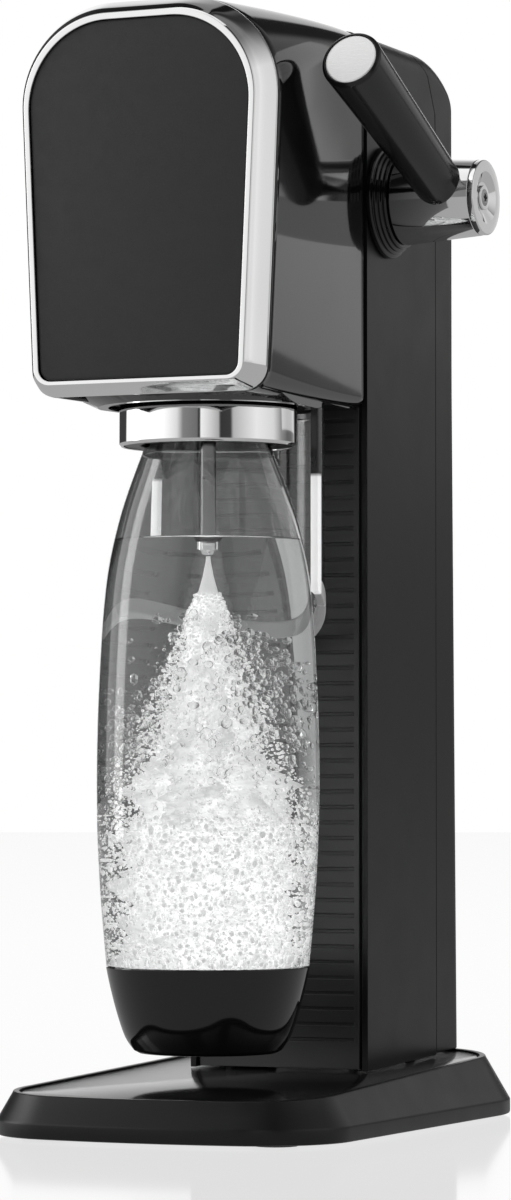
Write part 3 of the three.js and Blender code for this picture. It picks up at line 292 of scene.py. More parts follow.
class Surface:
    """A node material round one Principled shader, with short calls for the nodes they all use."""

    def __init__(self, name, color, roughness, metallic=0.0):
        self.material = bpy.data.materials.new(name)
        self.material.use_nodes = True
        self.nodes = self.material.node_tree.nodes
        self.shader = self.nodes["Principled BSDF"]
        self.set("Base Color", (*grey(color), 1))
        self.set("Roughness", roughness)
        self.set("Metallic", metallic)
        self.place = new_node(self.nodes, "TexCoord").outputs["Object"]

    def set(self, socket, value):
        self.shader.inputs[socket].default_value = value

    def link(self, source, target):
        self.material.node_tree.links.new(source, target)

    def stretched(self, scale):
        mapping = new_node(self.nodes, "Mapping", Scale=scale)
        self.link(self.place, mapping.inputs["Vector"])
        return mapping.outputs["Vector"]

    def noise(self, scale, detail=3.0, place=None):
        noise = new_node(self.nodes, "TexNoise", Scale=scale, Detail=detail)
        self.link(place or self.place, noise.inputs["Vector"])
        return noise.outputs["Fac"]

    def ramp(self, source, low, high, start=0.3, end=0.7):
        """Maps a 0 to 1 value onto a range of greys or of colours."""
        ramp = new_node(self.nodes, "ValToRGB")
        for element, place, tone in zip(ramp.color_ramp.elements, (start, end), (low, high)):
            element.position = place
            element.color = (*grey(tone), 1)
        self.link(source, ramp.inputs["Fac"])
        return ramp.outputs["Color"]

    def bump(self, source, strength, distance):
        bump = new_node(self.nodes, "Bump", Strength=strength, Distance=distance)
        self.link(source, bump.inputs["Height"])
        self.link(bump.outputs["Normal"], self.shader.inputs["Normal"])

    def vary(self, socket, source, low, high):
        self.link(self.ramp(source, low, high), self.shader.inputs[socket])

    def finish(self, tones=None, haze=None, relief=None):
        """Adds drift in colour and in roughness, as (noise scale, detail, low, high), and fine
        relief, as (noise scale, detail, strength, distance in metres)."""
        for socket, drift in (("Base Color", tones), ("Roughness", haze)):
            if drift:
                scale, detail, low, high = drift
                self.vary(socket, self.noise(scale, detail), low, high)
        if relief:
            scale, detail, strength, distance = relief
            self.bump(self.noise(scale, detail), strength, distance)
        return self.material


def satin_plastic(name, shade, roughness, gloss=0.3, grain=0.12, tone=0.25):
    """Moulded plastic with a fine spark-eroded grain and a little drift in shade and gloss."""
    surface = Surface(name, (shade, shade, shade * 1.02), roughness)
    surface.set("Specular IOR Level", gloss)
    dark, light = shade * (1 - tone), shade * (1 + tone)
    tones = (9, 2, dark, (light, light, light * 1.02))
    haze = (60, 4, roughness * 0.92, roughness * 1.08)
    return surface.finish(tones, haze, (2600, 2, grain, 0.00006))


def gloss_plastic(name, shade):
    """Piano-gloss plastic with a very slight waviness."""
    surface = Surface(name, shade, 0.06)
    return surface.finish((7, 2, shade * 0.8, shade * 1.2), (30, 3, 0.05, 0.085), (24, 1, 0.05, 0.0004))


def polished_metal(name, shade, roughness):
    """Chrome plating with faint waviness and a trace of haze."""
    surface = Surface(name, shade, roughness, 1.0)
    tones = (12, 2, shade * 0.96, min(shade * 1.03, 1))
    return surface.finish(tones, (40, 3, roughness * 0.7, roughness * 1.5), (30, 1, 0.04, 0.0003))


def brushed_metal(name, shade, direction, roughness=0.3):
    """Metal brushed along one direction, given as the scale of the scratches along each axis."""
    surface = Surface(name, shade, roughness, 1.0)
    scratches = surface.noise(1.0, 4, surface.stretched(direction))
    surface.vary("Roughness", scratches, roughness * 0.85, roughness * 1.15)
    surface.vary("Base Color", scratches, shade * 0.95, min(shade * 1.04, 1))
    surface.bump(scratches, 0.08, 0.00002)
    return surface.material


def plain_metal(name, color, roughness):
    """Machined or drawn metal with light stains."""
    surface = Surface(name, color, roughness, 1.0)
    tones = (45, 3, tuple(c * 0.8 for c in color), color)
    return surface.finish(tones, (120, 4, roughness * 0.7, roughness * 1.35), (700, 2, 0.1, 0.00005))


def rubber(name):
    surface = Surface(name, 0.02, 0.75)
    return surface.finish((80, 3, 0.014, 0.03), (200, 2, 0.68, 0.85), (1500, 3, 0.25, 0.0001))


def painted_metal(name, color):
    """Cylinder paint with orange peel."""
    surface = Surface(name, color, 0.35)
    surface.set("Coat Weight", 0.3)
    tones = (12, 3, tuple(c * 0.9 for c in color), tuple(c * 1.08 for c in color))
    return surface.finish(tones, (70, 2, 0.3, 0.42), (500, 2, 0.12, 0.0001))


def charcoal_plate(name):
    """Faceplate lacquer: fine mineral grain, slightly lighter flecks."""
    surface = Surface(name, (0.02, 0.02, 0.021), 0.46)
    tones = (1400, 3, (0.0165, 0.0165, 0.017), (0.0235, 0.0235, 0.0245))
    return surface.finish(tones, (300, 3, 0.42, 0.52), (1900, 2, 0.15, 0.00005))


def see_through(name, color, roughness, index):
    surface = Surface(name, color, roughness)
    surface.set("Transmission Weight", 1.0)
    surface.set("IOR", index)
    return surface


def clear_plastic(name):
    """Clear plastic with a slight unevenness left by blowing."""
    surface = see_through(name, (0.98, 0.985, 0.985), 0.015, 1.5)
    return surface.finish(None, (25, 2, 0.0, 0.03), (22, 1, 0.03, 0.0006))


def shield_rim_painted_light_material(name, glow):
    """Thick edge of the clear shield: a painted glow stands in for the light it gathers, and painted shade
    darkens its upper end.
    """
    surface = Surface(name, (0.85, 0.86, 0.86), 0.22)
    surface.set("Transmission Weight", 0.25)
    surface.set("IOR", 1.5)
    # Painted light: the rim is bright and glows below a height, and painted shade makes it dark above
    height = new_node(surface.nodes, "SeparateXYZ")
    surface.link(surface.place, height.inputs["Vector"])
    low, high = RIM_PAINTED_SHADE_FROM * MM, (RIM_PAINTED_SHADE_FROM + RIM_PAINTED_SHADE_FADE) * MM
    span = new_node(surface.nodes, "MapRange", From_Min=low, From_Max=high)
    surface.link(height.outputs["Z"], span.inputs["Value"])
    tone = surface.ramp(span.outputs["Result"], 0.5 + glow, 0.012, 0, 1)
    surface.link(tone, surface.shader.inputs["Base Color"])
    surface.link(tone, surface.shader.inputs["Emission Color"])
    surface.set("Emission Strength", glow)
    return surface.finish(None, (60, 2, 0.16, 0.3), (40, 2, 0.06, 0.0005))


def water_material(name):
    surface = see_through(name, (0.985, 0.99, 0.99), 0.0, 1.333)
    return surface.finish(None, (30, 2, 0.0, 0.02), (45, 2, 0.06, 0.0006))


def painted_glow_foam_material(name):
    """Masses of tiny bubbles: white, with a painted glow that stands in for the light scattered all through
    it.
    """
    surface = Surface(name, (0.93, 0.94, 0.94), 0.25)
    # Painted glow: the emission stands in for light scattered through the foam
    surface.set("Emission Color", (1, 1, 1, 1))
    surface.set("Emission Strength", 0.42)
    return surface.finish((160, 3, 0.7, 0.98), (300, 2, 0.15, 0.4))


def bubble_material(name):
    surface = see_through(name, 1, 0.0, 1.22)
    surface.set("Coat Weight", 0.6)
    return surface.finish(None, (200, 1, 0.0, 0.03))


# Each finish is a material and the slot it fills.
SATIN = satin_plastic("satin black plastic", 0.008, 0.34), "satin_black"
DECK = satin_plastic("deck plastic", 0.008, 0.17, 0.5, 0.06), "satin_black"
GLOSS = gloss_plastic("gloss black plastic", 0.006), "gloss_black"
CHARCOAL = charcoal_plate("charcoal lacquer"), "charcoal"
CHROME = polished_metal("chrome", 0.86, 0.05), "chrome_trim"
WASHER = CHROME[0], "plain_steel"
TUBE = polished_metal("nozzle metal", 0.28, 0.1), "plain_steel"
# The panel's shade is raised well over the other black plastic as painted sheen, standing in for light it
# reflects
PAINTED_SHEEN_PANEL = satin_plastic("panel plastic lightened as painted sheen", 0.034, 0.34, 0.6), "satin_black"
SATIN_GLOSS = satin_plastic("arm plastic", 0.01, 0.2, 0.45, 0.05), "satin_black"
DISC = brushed_metal("brushed disc", 0.74, (120, 5200, 5200)), "brushed_disc"
STEEL = plain_metal("plain steel", (0.52, 0.52, 0.53), 0.32), "plain_steel"
BRASS = plain_metal("brass", (0.62, 0.46, 0.2), 0.3), "brass_fitting"
RUBBER = rubber("rubber"), "rubber_black"
GREY = satin_plastic("grey plastic", 0.14, 0.5), "grey_plastic"
PAINT = painted_metal("cylinder paint", (0.27, 0.29, 0.31)), "cylinder_paint"
CLEAR = clear_plastic("clear bottle plastic"), "clear_bottle"
# The shield's rim and foot glow as painted light, the rim more strongly
SHIELD_RIM_PAINTED_GLOW = shield_rim_painted_light_material("shield rim plastic with painted glow", 0.4), "clear_shield"
SHIELD_FOOT_PAINTED_GLOW = shield_rim_painted_light_material("shield foot plastic with painted glow", 0.1), "clear_shield"
SHIELD_CLEAR = clear_plastic("clear shield plastic"), "clear_shield"
WATER = water_material("water"), "clear_bottle"
FOAM_PAINTED_GLOW = painted_glow_foam_material("foam"), "clear_bottle"
BUBBLE = bubble_material("clear bubbles"), "clear_bottle"


# ---- camera, floor and light
CAMERA_LENS = 140.8
CAMERA_PLACE = (0.76035, -1.70317, 0.13356)
CAMERA_TURN = (math.radians(90 + 2.28), 0, math.radians(24.2))
FLOOR_RADIUS = 12000
FLOOR_GLOW = 1.05
FLOOR_MIRROR = 0.3
FLOOR_HAZE = 0.09
FLOOR_DIM = 0.42


def make_camera():
    data = bpy.data.cameras.new("camera")
    data.lens = CAMERA_LENS
    data.sensor_fit = "VERTICAL"
    data.sensor_height = 36
    data.sensor_width = 36
    data.clip_end = 60
    camera = bpy.data.objects.new("camera", data)
    camera.location = CAMERA_PLACE
    camera.rotation_euler = CAMERA_TURN
    bpy.context.scene.collection.objects.link(camera)
    bpy.context.scene.camera = camera


def floor_material():
    """White studio floor with a faint mirror image. Other surfaces see it in a dim tone."""
    material = bpy.data.materials.new("studio floor")
    material.use_nodes = True
    nodes, links = material.node_tree.nodes, material.node_tree.links
    nodes.clear()
    glow = new_node(nodes, "Emission", Strength=FLOOR_GLOW)
    mirror = new_node(nodes, "BsdfGlossy", Roughness=FLOOR_HAZE)
    seen = new_node(nodes, "MixShader", Fac=FLOOR_MIRROR)
    dim = new_node(nodes, "Emission", Strength=FLOOR_DIM)
    path = new_node(nodes, "LightPath")
    mix = new_node(nodes, "MixShader")
    out = new_node(nodes, "OutputMaterial")
    links.new(glow.outputs["Emission"], seen.inputs[1])
    links.new(mirror.outputs["BSDF"], seen.inputs[2])
    links.new(path.outputs["Is Camera Ray"], mix.inputs["Fac"])
    links.new(dim.outputs["Emission"], mix.inputs[1])
    links.new(seen.outputs["Shader"], mix.inputs[2])
    links.new(mix.outputs["Shader"], out.inputs["Surface"])
    return material


def make_floor():
    ring = [(x, y, 0) for x, y in arc(0, 0, FLOOR_RADIUS, 0, 2 * math.pi * 63 / 64, 63)]
    floor = mesh_object("studio_floor", ring, [tuple(range(64))])
    floor.data.materials.append(floor_material())


# The studio as polished surfaces mirror it: brightness by the angle round the object, in degrees
# from the front (0) through the lever's side (90) and the rear (180).
STUDIO_ROUND = [
    (-180, 0.04), (-173, 0.04), (-171, 1.0), (-142, 1.0), (-140, 0.05), (-108, 0.05), (-104, 1.5),
    (-60, 1.4), (-36, 1.2), (-16, 0.8), (-8, 0.24), (11, 0.17), (12, 0.02), (14, 0.02), (15, 1.0),
    (38, 0.45), (40, 0.04), (54, 0.05), (57, 0.5), (90, 0.9), (118, 0.75), (133, 0.3), (148, 0.13),
    (160, 0.15), (172, 0.4), (175, 0.05), (180, 0.04),
]
# What is seen through clear pieces: a dark backdrop behind, lighter round the sides.
BACKDROP_ROUND = [
    (-180, 0.025), (-165, 0.03), (-158, 0.05), (-140, 0.045), (-125, 0.09), (-108, 0.4), (-60, 0.7),
    (60, 0.6), (120, 0.35), (160, 0.03), (180, 0.025),
]
# Brightness by height: the sine of the angle above the horizon.
STUDIO_HEIGHT = [(-1, 0.4), (-0.02, 1.0), (0.5, 1.0), (0.85, 0.25), (1, 0.2)]


def grey_ramp(nodes, stops, low, high):
    """A ramp of greys with its stops given on a scale from low to high."""
    ramp = new_node(nodes, "ValToRGB")
    elements = ramp.color_ramp.elements
    while len(elements) > 1:
        elements.remove(elements[-1])
    for i, (place, value) in enumerate(stops):
        share = (place - low) / (high - low)
        element = elements[0] if i == 0 else elements.new(share)
        element.position = share
        element.color = (value, value, value, 1)
    return ramp


def make_world():
    """White for the camera, a painted studio in reflections, a dark backdrop through clear pieces."""
    world = bpy.data.worlds.new("studio")
    bpy.context.scene.world = world
    world.use_nodes = True
    nodes, links = world.node_tree.nodes, world.node_tree.links
    nodes.clear()

    def feed(socket, value):
        if isinstance(value, (int, float)):
            socket.default_value = value
        else:
            links.new(value, socket)

    def math_node(operation, *values):
        node = new_node(nodes, "Math")
        node.operation = operation
        for socket, value in zip(node.inputs, values):
            feed(socket, value)
        return node.outputs["Value"]

    def painted(stops, low, high, source):
        ramp = grey_ramp(nodes, stops, low, high)
        links.new(source, ramp.inputs["Fac"])
        return ramp.outputs["Color"]

    def background(strength):
        node = new_node(nodes, "Background")
        feed(node.inputs["Strength"], strength)
        node.inputs["Color"].default_value = (1, 1, 1, 1)
        return node.outputs["Background"]

    def choose(test, otherwise, then):
        mix = new_node(nodes, "MixShader")
        for socket, source in zip(mix.inputs, (test, otherwise, then)):
            links.new(source, socket)
        return mix.outputs["Shader"]

    direction = new_node(nodes, "SeparateXYZ")
    place = new_node(nodes, "TexCoord")
    links.new(place.outputs["Generated"], direction.inputs["Vector"])
    front = math_node("MULTIPLY", direction.outputs["Y"], -1)
    angle = math_node("ARCTAN2", direction.outputs["X"], front)
    turn = math_node("ADD", math_node("DIVIDE", angle, 2 * math.pi), 0.5)
    rise = math_node("MULTIPLY_ADD", direction.outputs["Z"], 0.5, 0.5)
    studio = painted(STUDIO_ROUND, -180, 180, turn)
    backdrop = painted(BACKDROP_ROUND, -180, 180, turn)
    height = painted(STUDIO_HEIGHT, -1, 1, rise)
    path = new_node(nodes, "LightPath")
    mirrored = background(math_node("MULTIPLY", studio, height))
    through = choose(path.outputs["Is Transmission Ray"], mirrored, background(backdrop))
    out = new_node(nodes, "OutputWorld")
    seen = choose(path.outputs["Is Camera Ray"], through, background(1.0))
    links.new(seen, out.inputs["Surface"])


def softbox(name, place, target, width, height, radiance):
    """A rectangular light of a given brightness, aimed at a point. Places are metres."""
    data = bpy.data.lights.new(name, "AREA")
    data.shape = "RECTANGLE"
    data.size = width
    data.size_y = height
    data.energy = radiance * math.pi * width * height
    light = bpy.data.objects.new(name, data)
    light.location = place
    aim = Vector(target) - Vector(place)
    light.rotation_euler = aim.to_track_quat("-Z", "Y").to_euler()
    bpy.context.scene.collection.objects.link(light)


def make_lights():
    softbox("left_box", (-1.9, -0.35, 0.6), (0, 0, 0.25), 0.5, 1.5, 2.2)
    softbox("right_rear_box", (0.95, 1.7, 0.85), (0, 0, 0.3), 1.3, 0.9, 0.42)
    softbox("top_box", (-0.2, -0.6, 1.9), (0, 0, 0.3), 1.2, 1.2, 0.8)


# ---- base
def base_outline(inset):
    """The base's plan pulled in by an inset: bowed front, tighter front corners, wide rear corners."""
    half = BASE_HIGH[0]
    corner_x = half - FRONT_CORNER
    bow_x = corner_x + FRONT_CORNER * math.sin(FRONT_BOW)
    bow = math.tan(FRONT_BOW) / (2 * bow_x)
    front = BASE_LOW[1]
    corner_y = front + bow * bow_x * bow_x + FRONT_CORNER * math.cos(FRONT_BOW)
    steps = 14
    path = []
    for i in range(steps):
        x = bow_x * (i + 0.5) / (steps + 0.5)
        lean = math.atan(2 * bow * x)
        path.append((x - inset * math.sin(lean), front + bow * x * x + inset * math.cos(lean)))
    quarter = math.pi / 2
    path += arc(corner_x, corner_y, FRONT_CORNER - inset, FRONT_BOW - quarter, 0, 22)
    rear_y = BASE_HIGH[1] - REAR_CORNER
    path += arc(half - REAR_CORNER, rear_y, REAR_CORNER - inset, 0, quarter, 26)
    return path + [(-x, y) for x, y in reversed(path)]


def level_ring(inset, height):
    return [(x, y, height) for x, y in base_outline(inset)]


def rim_ring(extra, raised):
    """A ring at the rim. Its inset follows the wedge, so the flank leans evenly."""
    ring = []
    for (x, y), (inner_x, inner_y) in zip(base_outline(0), base_outline(1)):
        inset = FLANK_LEAN * (deck_at(y) + RIM_STEP - BAND_TOP) + extra
        px = x + (inner_x - x) * inset
        py = y + (inner_y - y) * inset
        ring.append((px, py, deck_at(py) + raised))
    return ring


def between(low_ring, high_ring, share):
    return [tuple(Vector(a).lerp(Vector(b), share)) for a, b in zip(low_ring, high_ring)]


def make_base():
    low = BASE_LOW[2]
    band = level_ring(0, BAND_TOP)
    top = rim_ring(0, RIM_STEP - 0.7)
    rings = [
        rim_ring(RIM_WIDTH + 1, -5.5),
        level_ring(BASE_WALL, BAND_TOP),
        level_ring(BASE_WALL, low),
        level_ring(0.9, low),
        level_ring(0.25, low + 0.3),
        level_ring(0, low + 1),
        level_ring(0, BAND_TOP - 0.5),
        between(band, top, 0.004),
        between(band, top, 0.05),
        between(band, top, 0.5),
        top,
        rim_ring(0.15, RIM_STEP - 0.3),
        rim_ring(0.45, RIM_STEP - 0.06),
        rim_ring(0.8, RIM_STEP),
        rim_ring(RIM_WIDTH - 0.5, RIM_STEP),
        rim_ring(RIM_WIDTH - 0.15, RIM_STEP - 0.15),
        rim_ring(RIM_WIDTH, RIM_STEP - 0.5),
        rim_ring(RIM_WIDTH, -2.4),
    ]
    shell = loft("base_shell_smooth", rings, sharp=28)
    dressed(shell, "housing", SATIN, "base_shell")
    deck_rings = [
        rim_ring(RIM_WIDTH + 0.6, -2.1),
        rim_ring(RIM_WIDTH + 0.6, -0.55),
        rim_ring(RIM_WIDTH + 0.75, -0.2),
        rim_ring(RIM_WIDTH + 1.1, 0),
    ]
    deck = loft("base_deck_smooth", deck_rings, sharp=50)
    dressed(deck, "housing", DECK, "base_deck")


# ---- column
def column_lean(z):
    """Share of the rear wall's lean at a height: 1 at the foot, 0 from the upper part on."""
    return max(0, 1 - z / COLUMN_LEAN_TOP)


def column_rear(z):
    return COLUMN_REAR + COLUMN_REAR_LEAN * column_lean(z)


def column_half(y, z):
    """Half-width of the column at a depth and height: it rounds off at the rear corners."""
    corner = COLUMN_CORNER - COLUMN_CORNER_LEAN * column_lean(z)
    past = y - (column_rear(z) - corner)
    if past <= 0:
        return COLUMN_HIGH[0]
    return COLUMN_HIGH[0] - corner + math.sqrt(max(corner**2 - past**2, 0))


def column_top(y):
    """Height of the column's top at a depth: it drops in a long curve at the rear."""
    past = y - (COLUMN_REAR - REAR_TOP_DEPTH)
    if past <= 0:
        return COLUMN_HIGH[2]
    share = min(past / REAR_TOP_DEPTH, 1)
    return COLUMN_HIGH[2] - REAR_TOP_DROP + REAR_TOP_DROP * math.sqrt(max(1 - share * share, 0))


def seam_at(z):
    """Depth of the seam between the side walls and the rear cover: it curves forward at the top."""
    centre_z = COLUMN_HIGH[2] - SEAM_RADIUS - 3
    if z <= centre_z:
        return SEAM_Y
    rise = min((z - centre_z) / SEAM_RADIUS, 0.93)
    return SEAM_Y - SEAM_RADIUS + SEAM_RADIUS * math.sqrt(1 - rise * rise)


def column_point(y, row, foot):
    """A point of the column's skin at a depth. Rows go up the wall, round the shoulder and inward."""
    top = column_top(y)
    spring = top - TOP_SHOULDER
    if row <= WALL_ROWS:
        z = foot + (spring - foot) * row / WALL_ROWS
        return column_half(y, z), z
    half = column_half(y, top)
    shoulder_x = min(TOP_SHOULDER, half * 0.6)
    past = row - WALL_ROWS
    if past <= SHOULDER_ROWS:
        turn = math.pi / 2 * past / SHOULDER_ROWS
        return half - shoulder_x + shoulder_x * math.cos(turn), spring + TOP_SHOULDER * math.sin(turn)
    return (half - shoulder_x) * (1 - (past - SHOULDER_ROWS) / TOP_ROWS), top


def column_skin(start, end, shares, clearance):
    """Rings of the column between two edges, each given as depth for a height."""
    rings = []
    for share in shares:
        right = []
        for row in range(WALL_ROWS + SHOULDER_ROWS + TOP_ROWS + 1):
            y = SEAM_Y
            for _ in range(5):
                x, z = column_point(y, row, deck_at(y) + clearance)
                y = start(z) + (end(z) - start(z)) * share
            x, z = column_point(y, row, deck_at(y) + clearance)
            right.append((x, y, z))
        left = [(-x, y, z) for x, y, z in reversed(right[:-1])]
        rings.append(right + left)
    return rings


def make_column():
    front = COLUMN_LOW[1]
    shares = [0, 0.006, 0.02, 0.3, 0.6, 0.9, 0.985, 0.997, 1]
    sides = column_skin(lambda z: front, seam_at, shares, COLUMN_GAP)
    shell = loft("column_shell_smooth", sides, caps=(False, False), closed=False)
    thickened(shell, SHELL_WALL)
    edged(shell, 0.45, 3)
    dressed(shell, "housing", SATIN, "column_shell")
    eased = [1 - (1 - i / 40) ** 2 for i in range(41)]
    back = column_skin(lambda z: seam_at(z) + 0.45, column_rear, eased, RIM_STEP + COLUMN_GAP)
    cover = loft("rear_cover_smooth", back, caps=(False, True), closed=False, sharp=40)
    thickened(cover, SHELL_WALL)
    edged(cover, 0.4, 3)
    dressed(cover, "rear_cover", SATIN, "rear_cover")
    make_front_wall()
    make_front_panel()


def make_front_wall():
    """The wall inside the column's mouth that the grooved panel lies on."""
    half = COLUMN_HIGH[0] - SHELL_WALL + 0.5
    near, far = PANEL_HIGH[1] + 0.2, PANEL_HIGH[1] + 2.4
    low, high = PANEL_LOW[2], PANEL_HIGH[2] + 4
    points = [(x, y, z) for x in (-half, half) for y in (near, far) for z in (low, high)]
    faces = [(0, 1, 3, 2), (4, 6, 7, 5), (0, 4, 5, 1), (2, 3, 7, 6), (0, 2, 6, 4), (1, 5, 7, 3)]
    wall = mesh_object("column_front_wall", points, faces)
    edged(wall, 0.3)
    dressed(wall, "housing", SATIN)


def make_front_panel():
    """The panel with its ladder of grooves. Each groove has a floor, four walls and soft edges."""
    pitch, count, height, depth = 6.15, 41, 1.3, 1.0
    first = PANEL_HIGH[2] - 6
    face = PANEL_LOW[1]
    floor = face + depth
    edge, mouth = PANEL_HIGH[0], 32.4
    margins = ((-edge, -mouth), (mouth, edge))
    thirds = (margins[0], (-mouth, mouth), margins[1])
    points = []
    faces = []

    def quad(*corners):
        faces.append(tuple(range(len(points), len(points) + 4)))
        points.extend(corners)

    def band(x0, x1, z0, z1, y=face):
        quad((x0, y, z0), (x1, y, z0), (x1, y, z1), (x0, y, z1))

    level = PANEL_HIGH[2]
    for i in range(count):
        top = first - i * pitch
        low = max(top - height, PANEL_LOW[2] + 1)
        for x0, x1 in thirds:
            band(x0, x1, top, level)
        for x0, x1 in margins:
            band(x0, x1, low, top)
        band(-mouth, mouth, low, top, floor)
        quad((-mouth, face, top), (mouth, face, top), (mouth, floor, top), (-mouth, floor, top))
        quad((-mouth, floor, low), (mouth, floor, low), (mouth, face, low), (-mouth, face, low))
        for x in (-mouth, mouth):
            quad((x, face, low), (x, face, top), (x, floor, top), (x, floor, low))
        level = low
    for x0, x1 in thirds:
        band(x0, x1, PANEL_LOW[2], level)
    panel = mesh_object("front_panel_smooth", points, faces)
    close_panel(panel, PANEL_HIGH[1])
    edged(panel, 0.22, 2)
    dressed(panel, "housing", PAINTED_SHEEN_PANEL, "column_front_panel")


def close_panel(panel, back):
    """Closes the panel with its outer walls and back."""
    built = bmesh.new()
    built.from_mesh(panel.data)
    rim = [e for e in built.edges if e.is_boundary]
    made = bmesh.ops.extrude_edge_only(built, edges=rim)["geom"]
    for vertex in (g for g in made if isinstance(g, bmesh.types.BMVert)):
        vertex.co.y = back * MM
    loop = [e for e in built.edges if e.is_boundary]
    bmesh.ops.contextual_create(built, geom=loop)
    bmesh.ops.recalc_face_normals(built, faces=built.faces)
    built.to_mesh(panel.data)
    built.free()


# ---- head
def leaning_outline(half_bottom, half_top, bottom, top, low_radius, high_radius, steps=(10, 26)):
    """The +X half of a four-sided outline with rounded corners whose sides lean evenly, in X-Z."""
    lean = math.atan2(half_top - half_bottom, top - bottom)

    def centre_x(z, radius):
        return half_bottom + (z - bottom) * math.tan(lean) - radius / math.cos(lean)

    low, high = bottom + low_radius, top - high_radius
    path = arc(centre_x(low, low_radius), low, low_radius, -math.pi / 2, -lean, steps[0])
    sides = arc(centre_x(high, high_radius), high, high_radius, -lean, math.pi / 2, steps[1])
    first, last = Vector(path[-1]), Vector(sides[0])
    path += [tuple(first.lerp(last, i / 8)) for i in range(1, 8)]
    path += sides
    end = path[-1]
    return path + [(end[0] * (1 - i / 4), end[1]) for i in range(1, 4)]


def whole_ring(half, y, foot=None):
    """Both halves of an outline at a depth. With a foot, the ring is open below, from -foot to +foot."""
    start = [(0, half[0][1])] if foot is None else [(foot, half[0][1])]
    right = start + half
    left = [(-x, z) for x, z in reversed(right)]
    if foot is None:
        left = left[:-1]
    return [(x, y, z) for x, z in right + [(0, half[-1][1])] + left]


def head_ring(share, shrink=0.0, y_offset=0.0):
    """The head's open section between the bezel (share 0) and the column (share 1)."""
    y = mixed(HEAD_FRONT, HEAD_HIGH[1], share)
    ease = 1 - (1 - share) ** 1.6
    half_bottom = mixed(BEZEL_HALF_BOTTOM, COLUMN_HIGH[0], share) - shrink
    half_top = mixed(BEZEL_HALF_TOP, COLUMN_HIGH[0], share) - shrink
    bottom = HEAD_LOW[2] + 2 * share * share + shrink
    top = mixed(HEAD_TOP_FRONT, COLUMN_HIGH[2] - 0.6, share) - shrink
    low_radius = mixed(9, 5, ease)
    high_radius = mixed(38, TOP_SHOULDER, ease)
    half = leaning_outline(half_bottom, half_top, bottom, top, low_radius, high_radius)
    return whole_ring(half, y + y_offset, foot=half_bottom - max(low_radius, 9) - 0.5)


def make_head():
    rings = [head_ring(0, 0.9), head_ring(0, 0.35, 0.1), head_ring(0, 0.1, 0.35), head_ring(0, 0, 0.9)]
    rings += [head_ring(0.01 + 0.97 * i / 30) for i in range(31)]
    rings += [head_ring(1, 0.1, -1.0), head_ring(1, 0.5, -0.3), head_ring(1, 1.2)]
    shell = loft("head_shell_smooth", rings, caps=(False, False), closed=False, sharp=60)
    thickened(shell, SHELL_WALL)
    dressed(shell, "housing", GLOSS, "head_shell")
    make_bezel()
    make_faceplate()
    make_neck()
    make_skirt()


def bezel_ring(y, spread):
    """A ring of the bezel: spread 0 lies round the faceplate, 1 on the head's outer outline."""
    half = leaning_outline(
        mixed(PLATE_HALF_BOTTOM + PLATE_GAP, BEZEL_HALF_BOTTOM, spread),
        mixed(PLATE_HALF_TOP + PLATE_GAP, BEZEL_HALF_TOP, spread),
        mixed(PLATE_LOW[2] - PLATE_GAP, BEZEL_LOW[2], spread),
        mixed(PLATE_HIGH[2] + PLATE_GAP, HEAD_TOP_FRONT, spread),
        mixed(5.5, 9.5, spread),
        mixed(33, 38, spread),
    )
    return whole_ring(half, y)


def make_bezel():
    front, rear = BEZEL_LOW[1], BEZEL_HIGH[1]
    lip = [(rear - 0.4, -0.06), (front + 1.4, -0.06), (front, -0.06, 0.05), (front, 0.24, 0.05)]
    foot = (front + 0.75, 0.32)
    section = rounded([*lip, foot], 3)
    flare = spline([foot, (front + 3.6, 0.6), (rear - 2.2, 0.95), (rear - 1, 1.0)], 5)
    back = [(rear - 0.6, 1.0), (rear - 0.15, 0.99), (rear, 0.95), (rear, 0.6), (rear - 0.4, 0.02)]
    path = section + flare[1:] + back
    rings = [bezel_ring(y, spread) for y, spread in path]
    ring = loft("head_bezel_smooth", [*rings, rings[0]], caps=(False, False), sharp=40)
    dressed(ring, "housing", CHROME, "head_bezel")


def make_faceplate():
    def rim(y, inset):
        half = leaning_outline(
            PLATE_HALF_BOTTOM - inset,
            PLATE_HALF_TOP - inset,
            PLATE_LOW[2] + inset,
            PLATE_HIGH[2] - inset,
            5 - inset,
            32 - inset,
        )
        return whole_ring(half, y)

    front = PLATE_LOW[1]
    edge = [(front + 0.7, 0.0), (front + 0.3, 0.2), (front + 0.06, 0.6), (front, 1.0)]
    rings = [rim(y, inset) for y, inset in [(PLATE_HIGH[1], 0.0), *edge]]
    plate = loft("head_faceplate_smooth", rings, sharp=30)
    dressed(plate, "housing", CHARCOAL, "head_faceplate")


def make_neck():
    """The recessed block that closes the gap between the head's rear edge and the column."""
    half, top = COLUMN_HIGH[0] - SHELL_WALL - 0.6, COLUMN_HIGH[2] - SHELL_WALL - 0.6
    outline = leaning_outline(half, half, HEAD_LOW[2] + 2.5, top, 2, TOP_SHOULDER - 2)
    rings = [whole_ring(outline, y) for y in (HEAD_HIGH[1] - 2, COLUMN_LOW[1] + 2)]
    neck = loft("head_neck", rings, sharp=40)
    edged(neck, 0.3)
    dressed(neck, "housing", SATIN)


